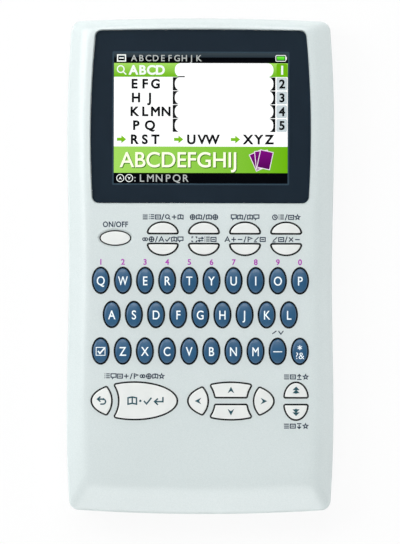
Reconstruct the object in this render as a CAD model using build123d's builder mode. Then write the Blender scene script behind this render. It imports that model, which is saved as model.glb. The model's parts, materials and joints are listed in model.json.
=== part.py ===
from build123d import *

import os
from collections import namedtuple
from math import atan, degrees, sin, sqrt, tan

os.makedirs("parts", exist_ok=True)

# Pocket electronic dictionary: a one-piece slab that lies on its back, without a lid.
# Millimetres. +X is the right of the face, +Y the display end, +Z out of the face.
# The origin is on the table, under the middle of the slab.

# Walls and fits
wall = 1.8
clearance = 0.1
seat_gap = 0.1
overrun = 1.0

# Display window
window_side_border = 6.85
window_top_border = 6.95
window_bottom_border = 5.85
window_thickness = 1.0
window_recess = 0.1
window_edge_radius = 0.2
window_top_narrowing = 1.5
window_bottom_narrowing = 0.65
window_top_bow = 0.35
window_widest_setback = 25.4
window_corner_radius = 2.0
window_side_gap = 0.15
window_side_margin = 2.45

# Display module
view_width = 50.8
view_height = 38.1
aperture_margin = 1.6
aperture_corner_radius = 1.0
glass_side_border = 3.6
glass_top_border = 2.5
glass_bottom_border = 5.5
glass_thickness = 1.3
driver_ledge_width = 3.0
driver_width = 22.0
driver_length = 1.2
driver_height = 0.4
backlight_inset = 1.0
backlight_thickness = 1.7
backlight_corner_radius = 1.5
ledge_thickness = 1.1
ledge_margin = 1.0
ribbon_width = 14.0
ribbon_thickness = 0.2
ribbon_bend_radius = 0.5
ribbon_bond_length = 1.2
connector_length = 2.0
connector_height = 1.0
connector_end_margin = 1.0

# Key field
key_gap = 0.36
key_corner_radius = 0.6
key_edge_radius = 0.22
flange_margin = 0.4
flange_thickness = 0.6
letter_width = 5.1
letter_length = 7.8
letter_pitch = 6.46
letter_rise = 0.9
letter_crown_radius = 14.0
letter_edge_radius = 0.45
function_width = 9.3
function_depth = 3.62
function_pitch = 12.0
function_offset = 7.0
function_rise = 0.55
function_crown_radius = 40.0
power_width = 9.3
power_length = 4.6
power_offset = 24.85
power_setback = 10.15
power_rise = 0.25
power_dish_width = 0.6
power_dish_depth = 0.5
page_width = 7.3
page_length = 4.76
page_offset = 28.0
cluster_width = 25.4
cluster_length = 11.2
cluster_rise = 0.7
cluster_crown_radius = 220.0
cluster_web = 1.73
enter_offset = 19.2
back_arc_radius = 6.45
back_arc_setback = 12.85
arrow_offset = 9.0
leaf_arc_radius = 5.96
leaf_arc_setback = 12.45
field_side_margin = 3.1

# Rows, each measured from the one above it
head_margin = 3.25
function_drop = 8.95
function_row_gap = 2.66
q_row_drop = 10.9
a_row_drop = 9.95
z_row_drop = 10.65
cluster_drop = 14.55

# Face and outline
side_slope_run = 4.3
bottom_slope_run = 7.7
top_slope_run = 1.7
slope_drop = 3.0
side_crease_radius = 7.2
bottom_crease_radius = 14.0
top_crease_radius = 1.6
crown_sections = 7
crown_spacing = 2.2
inner_shoulder_drop = 1.3
shoulder_radius = 0.9
waist_depth = 0.55
top_end_narrowing = 1.4
bottom_end_narrowing = 0.95
upper_hip_setback = 30.5
lower_hip_setback = 26.0
top_end_bow = 0.95
bottom_end_bow = 1.3
corner_radius = 3.0
rear_edge_radius = 2.6
rear_shell_height = 7.9
parting_gap = 0.15
lip_height = 1.2

# Board stack
foot_height = 0.6
component_space = 8.2
board_thickness = 1.0
board_end_margin = 6.5
board_side_clearance = 0.3
board_end_overlap = 0.7
board_corner_radius = 1.5
membrane_thickness = 0.8
membrane_margin = 1.2
dome_base_radius = 1.7
dome_top_radius = 1.2
dome_wall = 0.4
dome_gap = 0.05
post_radius = 2.0
post_pin_radius = 1.0
post_pin_recess = 0.2
post_side_inset = 4.5
post_end_inset = 4.0
post_middle_drop = 2.25
chip_height = 1.4
processor_size = 14.0
memory_width = 10.0
memory_length = 16.0
coil_radius = 3.0
coil_height = 2.5
capacitor_radius = 2.5
capacitor_height = 5.0
component_spread = 18.0

# Battery bay, for two AAA cells side by side
cell_diameter = 10.5
cell_length = 44.5
cell_nub_radius = 1.9
cell_nub_length = 0.8
cell_edge_radius = 0.5
cell_spacing = 0.3
bay_side_clearance = 0.35
bay_setback = 1.25
bay_end_margin = 4.3
bay_wall = 1.5
bay_ring_thickness = 1.2
contact_thickness = 0.3
contact_dimple_height = 0.5
contact_dimple_radius = 1.5
contact_margin = 1.4
contact_arm_height = 1.0
contact_leg_width = 1.4
contact_leg_setback = 0.6
contact_gap = 0.05
spring_length = 4.8
spring_wire_radius = 0.25
spring_radius = 2.6
spring_tip_radius = 1.5
spring_turns = 3
cover_thickness = 1.2
cover_side_overlap = 0.8
cover_front_overlap = 0.6
cover_lip_height = 4.4
cover_gap = 0.2
rail_width = 2.4
rail_reach = 1.2
rail_thickness = 0.8
rail_gap = 0.1
grip_count = 5
grip_pitch = 1.6
grip_length = 14.0
grip_width = 0.7
grip_depth = 0.3
grip_setback = 9.0

# Screws and feet
boss_radius = 2.3
boss_wall_gap = 0.15
screw_shank_radius = 1.0
screw_head_radius = 1.9
screw_head_height = 1.3
screw_length = 8.0
screw_pilot_clearance = 0.05
screw_head_clearance = 0.2
screw_seat_depth = 3.6
screw_slot_width = 0.5
screw_slot_length = 2.4
screw_slot_depth = 0.6
seat_boss_radius = 3.1
web_thickness = 1.2
upper_screw_setback = 18.5
middle_screw_drop = 13.3
lower_screw_rise = 22.5
foot_radius = 2.8
foot_recess = 0.4
foot_side_inset = 7.0
foot_end_inset = 10.5
foot_edge_radius = 0.2

# Heights of the layers, from the table up
rear_z = foot_height
floor_z = rear_z + wall
board_z = floor_z + component_space
board_top_z = board_z + board_thickness
glass_z = board_top_z + backlight_thickness
ledge_z = glass_z + glass_thickness + seat_gap
pocket_z = ledge_z + ledge_thickness
window_z = pocket_z + seat_gap
face_z = window_z + window_thickness + window_recess
ceiling_z = face_z - wall
parting_z = rear_z + rear_shell_height
flange_top_z = ceiling_z - clearance
flange_z = flange_top_z - flange_thickness
cover_top_z = rear_z + cover_thickness
cell_z = cover_top_z + clearance + cell_diameter / 2

# Lengths along the slab
bay_length = 2 * cell_diameter + cell_spacing + 2 * bay_side_clearance
tail_length = bay_setback + bay_length + bay_end_margin
window_length = window_top_border + view_height + window_bottom_border
rows_length = (
    function_drop + function_row_gap + q_row_drop + a_row_drop + z_row_drop + cluster_drop
)
case_length = (
    head_margin + window_length + rows_length + cluster_length / 2 + tail_length
)
half_length = case_length / 2
window_top_y = half_length - head_margin
window_bottom_y = window_top_y - window_length
view_y = window_top_y - window_top_border - view_height / 2
upper_flat_y = window_bottom_y - function_drop
lower_flat_y = upper_flat_y - function_row_gap
q_row_y = lower_flat_y - q_row_drop
a_row_y = q_row_y - a_row_drop
z_row_y = a_row_y - z_row_drop
cluster_y = z_row_y - cluster_drop
keys_bottom_y = cluster_y - cluster_length / 2
bay_front_y = keys_bottom_y - bay_setback
bay_rear_y = bay_front_y - bay_length

# Widths across the slab
window_width = view_width + 2 * window_side_border
field_width = 9 * letter_pitch + letter_width
plateau_width = max(
    window_width + 2 * window_side_margin, field_width + 2 * field_side_margin
)
hip_width = plateau_width + 2 * side_slope_run
half_width = hip_width / 2
waist_half_width = half_width - waist_depth
screw_x = waist_half_width - wall - boss_wall_gap - boss_radius
board_half_width = screw_x - boss_radius - board_side_clearance

shoulder_z = face_z - slope_drop
Key = namedtuple("Key", "name x y plan rise crown edge")


def case_outline(side, top, bottom, radius):
    """Plan of the slab, with its sides, top end and bottom end moved inwards."""
    hip = half_width - side
    waist = waist_half_width - side
    top_end = half_width - top_end_narrowing - side
    bottom_end = half_width - bottom_end_narrowing - side
    top_y = half_length - top
    bottom_y = -half_length + bottom
    upper_hip_y = half_length - upper_hip_setback
    lower_hip_y = -half_length + lower_hip_setback
    side_points = [
        (top_end, top_y - top_end_bow),
        (hip, upper_hip_y),
        (waist, (upper_hip_y + lower_hip_y) / 2),
        (hip, lower_hip_y),
        (bottom_end, bottom_y + bottom_end_bow),
    ]
    with BuildSketch() as plan:
        with BuildLine() as edge:
            Spline(*side_points)
            mirror(edge.edges()[0], about=Plane.YZ)
            ThreePointArc(
                (-top_end, top_y - top_end_bow), (0, top_y), (top_end, top_y - top_end_bow)
            )
            ThreePointArc(
                (-bottom_end, bottom_y + bottom_end_bow),
                (0, bottom_y),
                (bottom_end, bottom_y + bottom_end_bow),
            )
        make_face()
        fillet(plan.vertices(), radius=radius)
    return plan.sketch


def inset_outline(inset):
    """Plan of the slab, moved inwards by the same amount all round."""
    return case_outline(inset, inset, inset, corner_radius - inset)


def slope_inset(height, run, radius):
    """How far in the face's border lies at a height: a slope, then a crease of the radius."""
    slope = atan(slope_drop / run)
    tangent = radius * tan(slope / 2)
    if height <= face_z - tangent * sin(slope):
        return (height - shoulder_z) / tan(slope)
    return run + tangent - sqrt(radius**2 - (height - face_z + radius) ** 2)


def crease_inset(run, inset):
    """How far in the crease of the hollow lies, an inset inside the crease of the face."""
    return run + inset * tan(atan(slope_drop / run) / 2)


def face_block():
    """The upper half of the slab, solid: a plateau with soft sloping borders."""
    with BuildPart() as block:
        for step in range(crown_sections + 1):
            rise = 1 - (1 - step / crown_sections) ** crown_spacing
            height = shoulder_z + slope_drop * rise
            with BuildSketch(Plane.XY.offset(height)):
                add(
                    case_outline(
                        slope_inset(height, side_slope_run, side_crease_radius),
                        slope_inset(height, top_slope_run, top_crease_radius),
                        slope_inset(height, bottom_slope_run, bottom_crease_radius),
                        corner_radius,
                    )
                )
        loft()
        with BuildSketch(Plane.XY.offset(parting_z + parting_gap)):
            add(inset_outline(0))
        extrude(amount=shoulder_z - parting_z - parting_gap)
        shoulder = block.edges().filter_by_position(
            Axis.Z, shoulder_z - clearance, shoulder_z + clearance
        )
        fillet(shoulder, radius=shoulder_radius)
    return block.part


def face_hollow(inset):
    """The space inside the upper half, an inset in from the outside."""
    low = shoulder_z - inner_shoulder_drop * inset / wall
    with BuildPart() as hollow:
        with BuildSketch(Plane.XY.offset(low)):
            add(inset_outline(inset))
        with BuildSketch(Plane.XY.offset(face_z - inset)):
            add(
                case_outline(
                    crease_inset(side_slope_run, inset),
                    crease_inset(top_slope_run, inset),
                    crease_inset(bottom_slope_run, inset),
                    corner_radius - inset,
                )
            )
        loft(ruled=True)
        with BuildSketch(Plane.XY.offset(parting_z)):
            add(inset_outline(inset))
        extrude(amount=low - parting_z)
    return hollow.part


def rear_block(inset, bottom):
    """The lower half of the slab, solid, moved inwards by the inset."""
    with BuildPart() as block:
        with BuildSketch(Plane.XY.offset(bottom)):
            add(inset_outline(inset))
        extrude(amount=parting_z - bottom)
        fillet(block.edges().group_by(Axis.Z)[0], radius=rear_edge_radius - inset)
    return block.part


def window_plan(grow):
    """Bowed outline of the display window, widened by grow all round."""
    top_y = window_top_y + grow
    bottom_y = window_bottom_y - grow
    widest = window_width / 2 + grow
    top_half = widest - window_top_narrowing
    bottom_half = widest - window_bottom_narrowing
    with BuildSketch() as plan:
        with BuildLine() as edge:
            Spline(
                (top_half, top_y - window_top_bow),
                (widest, window_top_y - window_widest_setback),
                (bottom_half, bottom_y),
            )
            mirror(edge.edges()[0], about=Plane.YZ)
            ThreePointArc(
                (-top_half, top_y - window_top_bow), (0, top_y), (top_half, top_y - window_top_bow)
            )
            Line((-bottom_half, bottom_y), (bottom_half, bottom_y))
        make_face()
        fillet(plan.vertices(), radius=window_corner_radius + grow)
    return plan.sketch


def oval_plan(width, length):
    """An oval key, as a function of how much wider the hole or flange is than the key hole."""

    def plan_at(grow):
        with BuildSketch() as plan:
            Ellipse(width / 2 + grow, length / 2 + grow)
        return plan.sketch

    return plan_at


def half_oval_plan(width, depth, side):
    """A key with a flat edge and, on the given side, a half-oval one."""

    def plan_at(grow):
        reach = width + depth
        with BuildSketch() as plan:
            with Locations((0, -side * depth / 2)):
                Ellipse(depth + grow, width / 2 + grow, rotation=side * 90)
            with Locations((0, -side * (depth / 2 + grow + reach / 2))):
                Rectangle(2 * reach, reach, mode=Mode.SUBTRACT)
        return plan.sketch

    return plan_at


def cluster_oval(grow):
    """The long oval that the cursor keys and the enter and back keys are cut from."""
    Ellipse(cluster_width / 2 + grow, cluster_length / 2 + grow)


def leaf_plan(side, arc_setback, arc_radius):
    """The pointed end of the long oval, rounded off by an arc towards its middle."""

    def plan_at(grow):
        with BuildSketch() as plan:
            cluster_oval(grow)
            with Locations((side * arc_setback, 0)):
                Circle(arc_radius + grow, mode=Mode.INTERSECT)
        return plan.sketch

    return plan_at


def enter_plan(grow):
    """The rest of the long oval, beyond the back key and the web beside it."""
    with BuildSketch() as plan:
        cluster_oval(grow)
        with Locations((-back_arc_setback, 0)):
            Circle(back_arc_radius + cluster_web - grow, mode=Mode.SUBTRACT)
    return plan.sketch


def cursor_plan(side):
    """The upper or lower part of the long oval, between the two leaves."""

    def plan_at(grow):
        with BuildSketch() as plan:
            cluster_oval(grow)
            with Locations((-leaf_arc_setback, 0), (leaf_arc_setback, 0)):
                Circle(leaf_arc_radius + cluster_web - grow, mode=Mode.SUBTRACT)
            with Locations((0, side * (cluster_web / 2 - grow + cluster_length / 2))):
                Rectangle(cluster_width, cluster_length, mode=Mode.INTERSECT)
        return plan.sketch

    return plan_at


def letter_row(names, y):
    """One row of letter keys, centred on the slab."""
    plan = oval_plan(letter_width, letter_length)
    first = -letter_pitch * (len(names) - 1) / 2
    return [
        Key(
            f"key_{name}",
            first + letter_pitch * index,
            y,
            plan,
            letter_rise,
            letter_crown_radius,
            letter_edge_radius,
        )
        for index, name in enumerate(names)
    ]


def white_key(name, x, y, plan, rise, crown):
    """A key of the white family, with the same soft edge on each."""
    return Key(name, x, y, plan, rise, crown, key_edge_radius)


function_x = [function_offset + function_pitch * (column - 1.5) for column in range(4)]
upper_half = half_oval_plan(function_width, function_depth, 1)
lower_half = half_oval_plan(function_width, function_depth, -1)
power_y = window_bottom_y - power_setback
enter_x = -enter_offset
keys = [
    white_key(
        "power_key",
        -power_offset,
        power_y,
        oval_plan(power_width, power_length),
        power_rise,
        function_crown_radius,
    )
]
upper_function_y = upper_flat_y + function_depth / 2
lower_function_y = lower_flat_y - function_depth / 2
for row, (y, plan) in enumerate(((upper_function_y, upper_half), (lower_function_y, lower_half))):
    for column, x in enumerate(function_x):
        name = f"function_key_{len(function_x) * row + column + 1}"
        keys.append(white_key(name, x, y, plan, function_rise, function_crown_radius))
keys += letter_row("qwertyuiop", q_row_y)
keys += letter_row("asdfghjkl", a_row_y)
keys += letter_row(["check", *"zxcvbnm", "dash", "star"], z_row_y)
for name, x, plan in (
    ("back_key", enter_x, leaf_plan(-1, back_arc_setback, back_arc_radius)),
    ("enter_key", enter_x, enter_plan),
    ("left_key", arrow_offset, leaf_plan(-1, leaf_arc_setback, leaf_arc_radius)),
    ("right_key", arrow_offset, leaf_plan(1, leaf_arc_setback, leaf_arc_radius)),
    ("up_key", arrow_offset, cursor_plan(1)),
    ("down_key", arrow_offset, cursor_plan(-1)),
):
    keys.append(white_key(name, x, cluster_y, plan, cluster_rise, cluster_crown_radius))
for name, side in (("page_up_key", 1), ("page_down_key", -1)):
    y = cluster_y + side * (cluster_web + page_length) / 2
    plan = half_oval_plan(page_width, page_length, side)
    keys.append(white_key(name, page_offset, y, plan, cluster_rise, function_crown_radius))


def key_centre(key):
    """Middle of a key's plan, where the dome under it stands."""
    middle = key.plan(0).center(CenterOf.MASS)
    return (key.x + middle.X, key.y + middle.Y)


key_centres = [key_centre(key) for key in keys]


def key_block(key, grow, bottom, top):
    """A key's plan as an upright block, widened by grow, with its corners rounded."""
    with BuildPart() as block:
        with BuildSketch(Plane.XY.offset(bottom)):
            with Locations((key.x, key.y)):
                add(key.plan(grow))
        extrude(amount=top - bottom)
        corners = [
            edge
            for edge in block.edges().filter_by(Axis.Z)
            if min(abs(edge.center().X - key.x), abs(edge.center().Y - key.y)) > clearance
        ]
        if corners:
            fillet(corners, radius=key_corner_radius + grow)
    return block.part


def make_key(key, centre):
    """A key: a crowned cap that passes the face and a flange that keeps it in."""
    top_z = face_z + key.rise
    with BuildPart() as button:
        add(key_block(key, -key_gap, flange_top_z, top_z))
        with Locations((*centre, top_z - key.crown)):
            Sphere(key.crown, mode=Mode.INTERSECT)
        fillet(button.faces().sort_by(Axis.Z)[-1].edges(), radius=key.edge)
        add(key_block(key, flange_margin, flange_z, flange_top_z))
    button.part.label = key.name
    export_step(button.part, f"parts/{key.name}.step")


for key, centre in zip(keys, key_centres):
    make_key(key, centre)


def mirrored(*ys, x):
    """Places at plus and minus x for each y."""
    return [(side * x, y) for side in (-1, 1) for y in ys]


screw_places = mirrored(
    half_length - upper_screw_setback,
    window_bottom_y - middle_screw_drop,
    -half_length + lower_screw_rise,
    x=screw_x,
)
foot_y = half_length - foot_end_inset
foot_places = mirrored(-foot_y, foot_y, x=half_width - foot_side_inset)
seat_z = rear_z + screw_seat_depth
screw_tip_z = seat_z + screw_length
board_top_y = half_length - board_end_margin
board_bottom_y = bay_front_y + board_end_overlap
post_places = mirrored(
    board_top_y - post_end_inset,
    window_bottom_y - post_middle_drop,
    board_bottom_y + post_end_inset,
    x=board_half_width - post_side_inset,
)


def boss_webs(bottom, top):
    """Short webs that tie the screw bosses to the side walls."""
    length = boss_radius + boss_wall_gap + wall / 2
    with BuildPart() as webs:
        with BuildSketch(Plane.XY.offset(bottom)):
            for x, y in screw_places:
                side = 1 if x > 0 else -1
                with Locations((x + side * length / 2, y)):
                    Rectangle(length, web_thickness)
        extrude(amount=top - bottom)
    return webs.part


# Front case: the face, its border and the upper half of the sides
lip_top_z = parting_z + lip_height
with BuildPart() as front_bosses:
    with BuildSketch(Plane.XY.offset(parting_z)):
        with Locations(*screw_places):
            Circle(boss_radius)
    extrude(amount=face_z - parting_z)
    add(boss_webs(lip_top_z + clearance, face_z))
    add(face_hollow(wall / 2), mode=Mode.INTERSECT)

key_holes = [key_block(key, 0, ceiling_z - overrun, face_z + overrun) for key in keys]

with BuildPart() as front_case:
    add(face_block())
    add(face_hollow(wall), mode=Mode.SUBTRACT)
    with BuildSketch(Plane.XY.offset(parting_z)):
        add(inset_outline((wall - clearance) / 2))
    extrude(amount=lip_height + clearance, mode=Mode.SUBTRACT)
    add(front_bosses.part)
    with BuildSketch(Plane.XY.offset(ledge_z)):
        add(window_plan(ledge_margin))
    extrude(amount=ceiling_z - ledge_z)
    with BuildSketch(Plane.XY.offset(pocket_z)):
        add(window_plan(window_side_gap))
    extrude(amount=face_z - pocket_z, mode=Mode.SUBTRACT)
    with BuildSketch(Plane.XY.offset(ledge_z)):
        with Locations((0, view_y)):
            RectangleRounded(
                view_width + 2 * aperture_margin,
                view_height + 2 * aperture_margin,
                aperture_corner_radius,
            )
    extrude(amount=pocket_z - ledge_z, mode=Mode.SUBTRACT)
    with BuildSketch(Plane.XY.offset(parting_z)):
        with Locations(*screw_places):
            Circle(screw_shank_radius + screw_pilot_clearance)
    extrude(amount=screw_tip_z + overrun - parting_z, mode=Mode.SUBTRACT)
    add(key_holes, mode=Mode.SUBTRACT)
    with BuildSketch(Plane.XY.offset(face_z - power_dish_depth)):
        with Locations((-power_offset, power_y)):
            Ellipse(power_width / 2, power_length / 2)
    with BuildSketch(Plane.XY.offset(face_z)):
        with Locations((-power_offset, power_y)):
            Ellipse(power_width / 2 + power_dish_width, power_length / 2 + power_dish_width)
    loft(mode=Mode.SUBTRACT)
front_case.part.label = "front_case"
export_step(front_case.part, "parts/front_case.step")

# Display window: a bowed clear plate that drops into the pocket of the face
with BuildPart() as display_window:
    with BuildSketch(Plane.XY.offset(window_z)):
        add(window_plan(0))
    extrude(amount=window_thickness)
    fillet(display_window.edges().group_by(Axis.Z)[-1], radius=window_edge_radius)
display_window.part.label = "display_window"
export_step(display_window.part, "parts/display_window.step")

# Liquid crystal panel: two glasses, the lower one longer to carry the driver chip
glass_width = view_width + 2 * glass_side_border
glass_top_y = view_y + view_height / 2 + glass_top_border
glass_bottom_y = view_y - view_height / 2 - glass_bottom_border
glass_centre = (0, (glass_top_y + glass_bottom_y) / 2)
driver_ledge_z = glass_z + glass_thickness / 2
with BuildPart() as lcd_panel:
    with BuildSketch(Plane.XY.offset(glass_z)):
        with Locations(glass_centre):
            Rectangle(glass_width, glass_top_y - glass_bottom_y)
    extrude(amount=glass_thickness)
    with BuildSketch(Plane.XY.offset(driver_ledge_z)):
        with Locations((0, glass_bottom_y + driver_ledge_width / 2)):
            Rectangle(glass_width, driver_ledge_width)
    extrude(amount=glass_thickness / 2, mode=Mode.SUBTRACT)
    driver_y = glass_bottom_y + driver_ledge_width - driver_length
    with Locations((0, driver_y, driver_ledge_z)):
        Box(
            driver_width,
            driver_length,
            driver_height,
            align=(Align.CENTER, Align.CENTER, Align.MIN),
        )
lcd_panel.part.label = "lcd_panel"
export_step(lcd_panel.part, "parts/lcd_panel.step")

# Backlight: a framed light guide between the panel and the board
with BuildPart() as backlight_unit:
    with BuildSketch(Plane.XY.offset(board_top_z)):
        with Locations(glass_centre):
            RectangleRounded(
                glass_width - 2 * backlight_inset,
                glass_top_y - glass_bottom_y - 2 * backlight_inset,
                backlight_corner_radius,
            )
    extrude(amount=backlight_thickness)
backlight_unit.part.label = "backlight_unit"
export_step(backlight_unit.part, "parts/backlight_unit.step")

# Ribbon: leaves the panel's driver ledge, bends down and enters the board's connector
membrane_top_y = upper_flat_y + function_depth + membrane_margin
connector_y = membrane_top_y + connector_length / 2 + cover_gap
connector_mouth_y = connector_y + connector_length / 2
ribbon_top_z = driver_ledge_z + ribbon_thickness / 2
ribbon_low_z = board_top_z + connector_height / 2
ribbon_bend_y = (glass_bottom_y + connector_mouth_y) / 2
with BuildPart() as display_ribbon:
    with BuildLine(Plane.YZ):
        FilletPolyline(
            (glass_bottom_y + ribbon_bond_length, ribbon_top_z),
            (ribbon_bend_y, ribbon_top_z),
            (ribbon_bend_y, ribbon_low_z),
            (connector_mouth_y, ribbon_low_z),
            radius=ribbon_bend_radius,
        )
    with BuildSketch(
        Plane(
            origin=(0, glass_bottom_y + ribbon_bond_length, ribbon_top_z),
            x_dir=(1, 0, 0),
            z_dir=(0, -1, 0),
        )
    ):
        Rectangle(ribbon_width, ribbon_thickness)
    sweep()
display_ribbon.part.label = "display_ribbon"
export_step(display_ribbon.part, "parts/display_ribbon.step")

# Main board, located on the pins of the rear case's posts
with BuildPart() as main_board:
    with BuildSketch(Plane.XY.offset(board_z)):
        with Locations((0, (board_top_y + board_bottom_y) / 2)):
            RectangleRounded(
                2 * board_half_width, board_top_y - board_bottom_y, board_corner_radius
            )
        with Locations(*post_places):
            Circle(post_pin_radius + clearance, mode=Mode.SUBTRACT)
    extrude(amount=board_thickness)
main_board.part.label = "main_board"
export_step(main_board.part, "parts/main_board.step")

# What is soldered to the board: chips and coils below, the ribbon's connector on top
hanging = (Align.CENTER, Align.CENTER, Align.MAX)
standing = (Align.CENTER, Align.CENTER, Align.MIN)
with BuildPart() as board_components:
    with Locations((-component_spread / 2, upper_flat_y, board_z)):
        Box(processor_size, processor_size, chip_height, align=hanging)
    with Locations((component_spread / 2, upper_flat_y, board_z)):
        Box(memory_width, memory_length, chip_height, align=hanging)
    with Locations((0, a_row_y, board_z)):
        Box(memory_length, memory_width, chip_height, align=hanging)
    with Locations((-component_spread, a_row_y, board_z), (component_spread, view_y, board_z)):
        Cylinder(coil_radius, coil_height, align=hanging)
    with Locations((component_spread, z_row_y, board_z), (0, z_row_y, board_z)):
        Cylinder(capacitor_radius, capacitor_height, align=hanging)
    with Locations((0, connector_y, board_top_z)):
        Box(
            ribbon_width + 2 * connector_end_margin,
            connector_length,
            connector_height,
            align=standing,
        )
board_components.part.label = "board_components"
export_step(board_components.part, "parts/board_components.step")

# Key membrane: a rubber sheet with a hollow dome under each key
membrane_bottom_y = board_bottom_y + cover_gap
dome_height = flange_z - dome_gap - board_top_z
with BuildPart() as key_membrane:
    with BuildSketch(Plane.XY.offset(board_top_z)):
        with Locations((0, (membrane_top_y + membrane_bottom_y) / 2)):
            RectangleRounded(
                2 * (board_half_width - board_side_clearance),
                membrane_top_y - membrane_bottom_y,
                board_corner_radius,
            )
    extrude(amount=membrane_thickness)
    with Locations(*[(x, y, board_top_z) for x, y in key_centres]):
        Cone(dome_base_radius, dome_top_radius, dome_height, align=standing)
        Cone(
            dome_base_radius - dome_wall,
            dome_top_radius - dome_wall,
            dome_height - dome_wall,
            align=standing,
            mode=Mode.SUBTRACT,
        )
key_membrane.part.label = "key_membrane"
export_step(key_membrane.part, "parts/key_membrane.step")

# Battery bay: what lies across it, from the middle outwards, and along it
contact_x = (cell_length + spring_length + contact_dimple_height) / 2
bay_half_width = contact_x + contact_thickness
cover_half_width = bay_half_width + cover_side_overlap
rail_half_width = cover_half_width + rail_reach
lip_half_width = rail_half_width + cover_side_overlap
ring_half_width = rail_half_width + cover_gap + wall
bay_centre_y = (bay_front_y + bay_rear_y) / 2
front_cell_y = bay_centre_y + (cell_diameter + cell_spacing) / 2
rear_cell_y = bay_centre_y - (cell_diameter + cell_spacing) / 2
cover_front_y = bay_front_y + cover_front_overlap
cover_cut_y = cover_front_y + cover_gap
beyond_y = -half_length - overrun
groove_z = cover_top_z - rail_gap
groove_top_z = cover_top_z + rail_thickness + cover_gap
ring_top_z = groove_top_z + bay_ring_thickness


def band(half, front, rear, **options):
    """A rectangle in plan, centred on the slab, between two lines across it."""
    with Locations((0, (front + rear) / 2)):
        Rectangle(2 * half, front - rear, **options)


# Rear case: the back and the lower half of the sides, with the battery bay
with BuildPart() as rear_case:
    add(rear_block(0, rear_z))
    add(rear_block(wall, floor_z), mode=Mode.SUBTRACT)
    # Lip that enters the front case
    with BuildSketch(Plane.XY.offset(parting_z)):
        add(inset_outline((wall + clearance) / 2))
        add(inset_outline(wall), mode=Mode.SUBTRACT)
    extrude(amount=lip_height)
    # Screw bosses, wider where the screw heads are sunk, and posts for the board
    root_z = floor_z - wall / 2
    with BuildSketch(Plane.XY.offset(root_z)):
        with Locations(*screw_places):
            Circle(boss_radius)
    extrude(amount=parting_z - root_z)
    add(boss_webs(root_z, parting_z))
    with BuildSketch(Plane.XY.offset(root_z)):
        with Locations(*screw_places):
            Circle(seat_boss_radius)
    extrude(amount=seat_z + web_thickness - root_z)
    with BuildSketch(Plane.XY.offset(root_z)):
        with Locations(*post_places):
            Circle(post_radius)
    extrude(amount=board_z - root_z)
    with BuildSketch(Plane.XY.offset(board_z)):
        with Locations(*post_places):
            Circle(post_pin_radius)
    extrude(amount=board_thickness - post_pin_recess)
    # Ring round the mouth of the bay, and the walls that stand on it
    with BuildSketch(Plane.XY.offset(root_z)):
        band(ring_half_width, bay_front_y + bay_wall, -half_length)
        add(inset_outline(wall / 2), mode=Mode.INTERSECT)
    extrude(amount=ring_top_z - root_z)
    with BuildSketch(Plane.XY.offset(root_z)):
        band(bay_half_width + bay_wall, bay_front_y + bay_wall, bay_rear_y - bay_wall)
    extrude(amount=board_z - root_z)
    # The bay, the rail grooves, and the openings for the cover's plate and upturned end
    with BuildSketch(Plane.XY.offset(rear_z)):
        band(bay_half_width, bay_front_y, bay_rear_y)
    extrude(amount=board_z - rear_z, mode=Mode.SUBTRACT)
    with BuildSketch(Plane.XY.offset(groove_z)):
        band(rail_half_width + cover_gap, cover_cut_y, beyond_y)
    extrude(amount=groove_top_z - groove_z, mode=Mode.SUBTRACT)
    with BuildSketch(Plane.XY.offset(rear_z)):
        band(cover_half_width + cover_gap, cover_cut_y, beyond_y)
    extrude(amount=groove_top_z - rear_z, mode=Mode.SUBTRACT)
    with BuildSketch(Plane.XY.offset(rear_z)):
        band(lip_half_width + cover_gap, bay_rear_y, beyond_y)
        add(inset_outline(wall + cover_gap), mode=Mode.SUBTRACT)
    extrude(amount=cover_lip_height + cover_gap, mode=Mode.SUBTRACT)
    # Notch that lets the contact arms out of the bay
    notch = contact_thickness + cover_gap
    with BuildSketch(Plane.XY.offset(groove_top_z)):
        with Locations((-bay_half_width + notch / 2, bay_front_y + bay_wall / 2)):
            Rectangle(notch, bay_wall)
    extrude(amount=board_z - groove_top_z, mode=Mode.SUBTRACT)
    # Sunk screw seats, screw holes and foot recesses
    with BuildSketch(Plane.XY.offset(rear_z)):
        with Locations(*screw_places):
            Circle(screw_head_radius + screw_head_clearance)
    extrude(amount=screw_seat_depth, mode=Mode.SUBTRACT)
    with BuildSketch(Plane.XY.offset(seat_z)):
        with Locations(*screw_places):
            Circle(screw_shank_radius + clearance)
    extrude(amount=parting_z - seat_z, mode=Mode.SUBTRACT)
    with BuildSketch(Plane.XY.offset(rear_z)):
        with Locations(*foot_places):
            Circle(foot_radius + clearance)
    extrude(amount=foot_recess, mode=Mode.SUBTRACT)
rear_case.part.label = "rear_case"
export_step(rear_case.part, "parts/rear_case.step")

# Battery cover: a plate with an upturned end, held by two rails and slid off endwise
with BuildPart() as battery_cover:
    add(rear_block(0, rear_z))
    with BuildSketch(Plane.XY.offset(rear_z)):
        band(lip_half_width, bay_rear_y, beyond_y)
        add(inset_outline(wall), mode=Mode.SUBTRACT)
        band(cover_half_width, cover_front_y, beyond_y)
    extrude(amount=cover_lip_height, mode=Mode.INTERSECT)
    with BuildSketch(Plane.XY.offset(cover_top_z)):
        band(lip_half_width, cover_front_y, beyond_y)
        add(inset_outline(wall), mode=Mode.INTERSECT)
    extrude(amount=cover_lip_height, mode=Mode.SUBTRACT)
    with BuildSketch(Plane.XY.offset(cover_top_z)):
        band(rail_half_width, cover_front_y, beyond_y)
        band(rail_half_width - rail_width, cover_front_y, beyond_y, mode=Mode.SUBTRACT)
        add(inset_outline(wall / 2), mode=Mode.INTERSECT)
    extrude(amount=rail_thickness)
    with BuildSketch(Plane.XY.offset(rear_z)):
        with Locations((0, -half_length + grip_setback)):
            with GridLocations(0, grip_pitch, 1, grip_count):
                SlotOverall(grip_length, grip_width)
    extrude(amount=grip_depth, mode=Mode.SUBTRACT)
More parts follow.
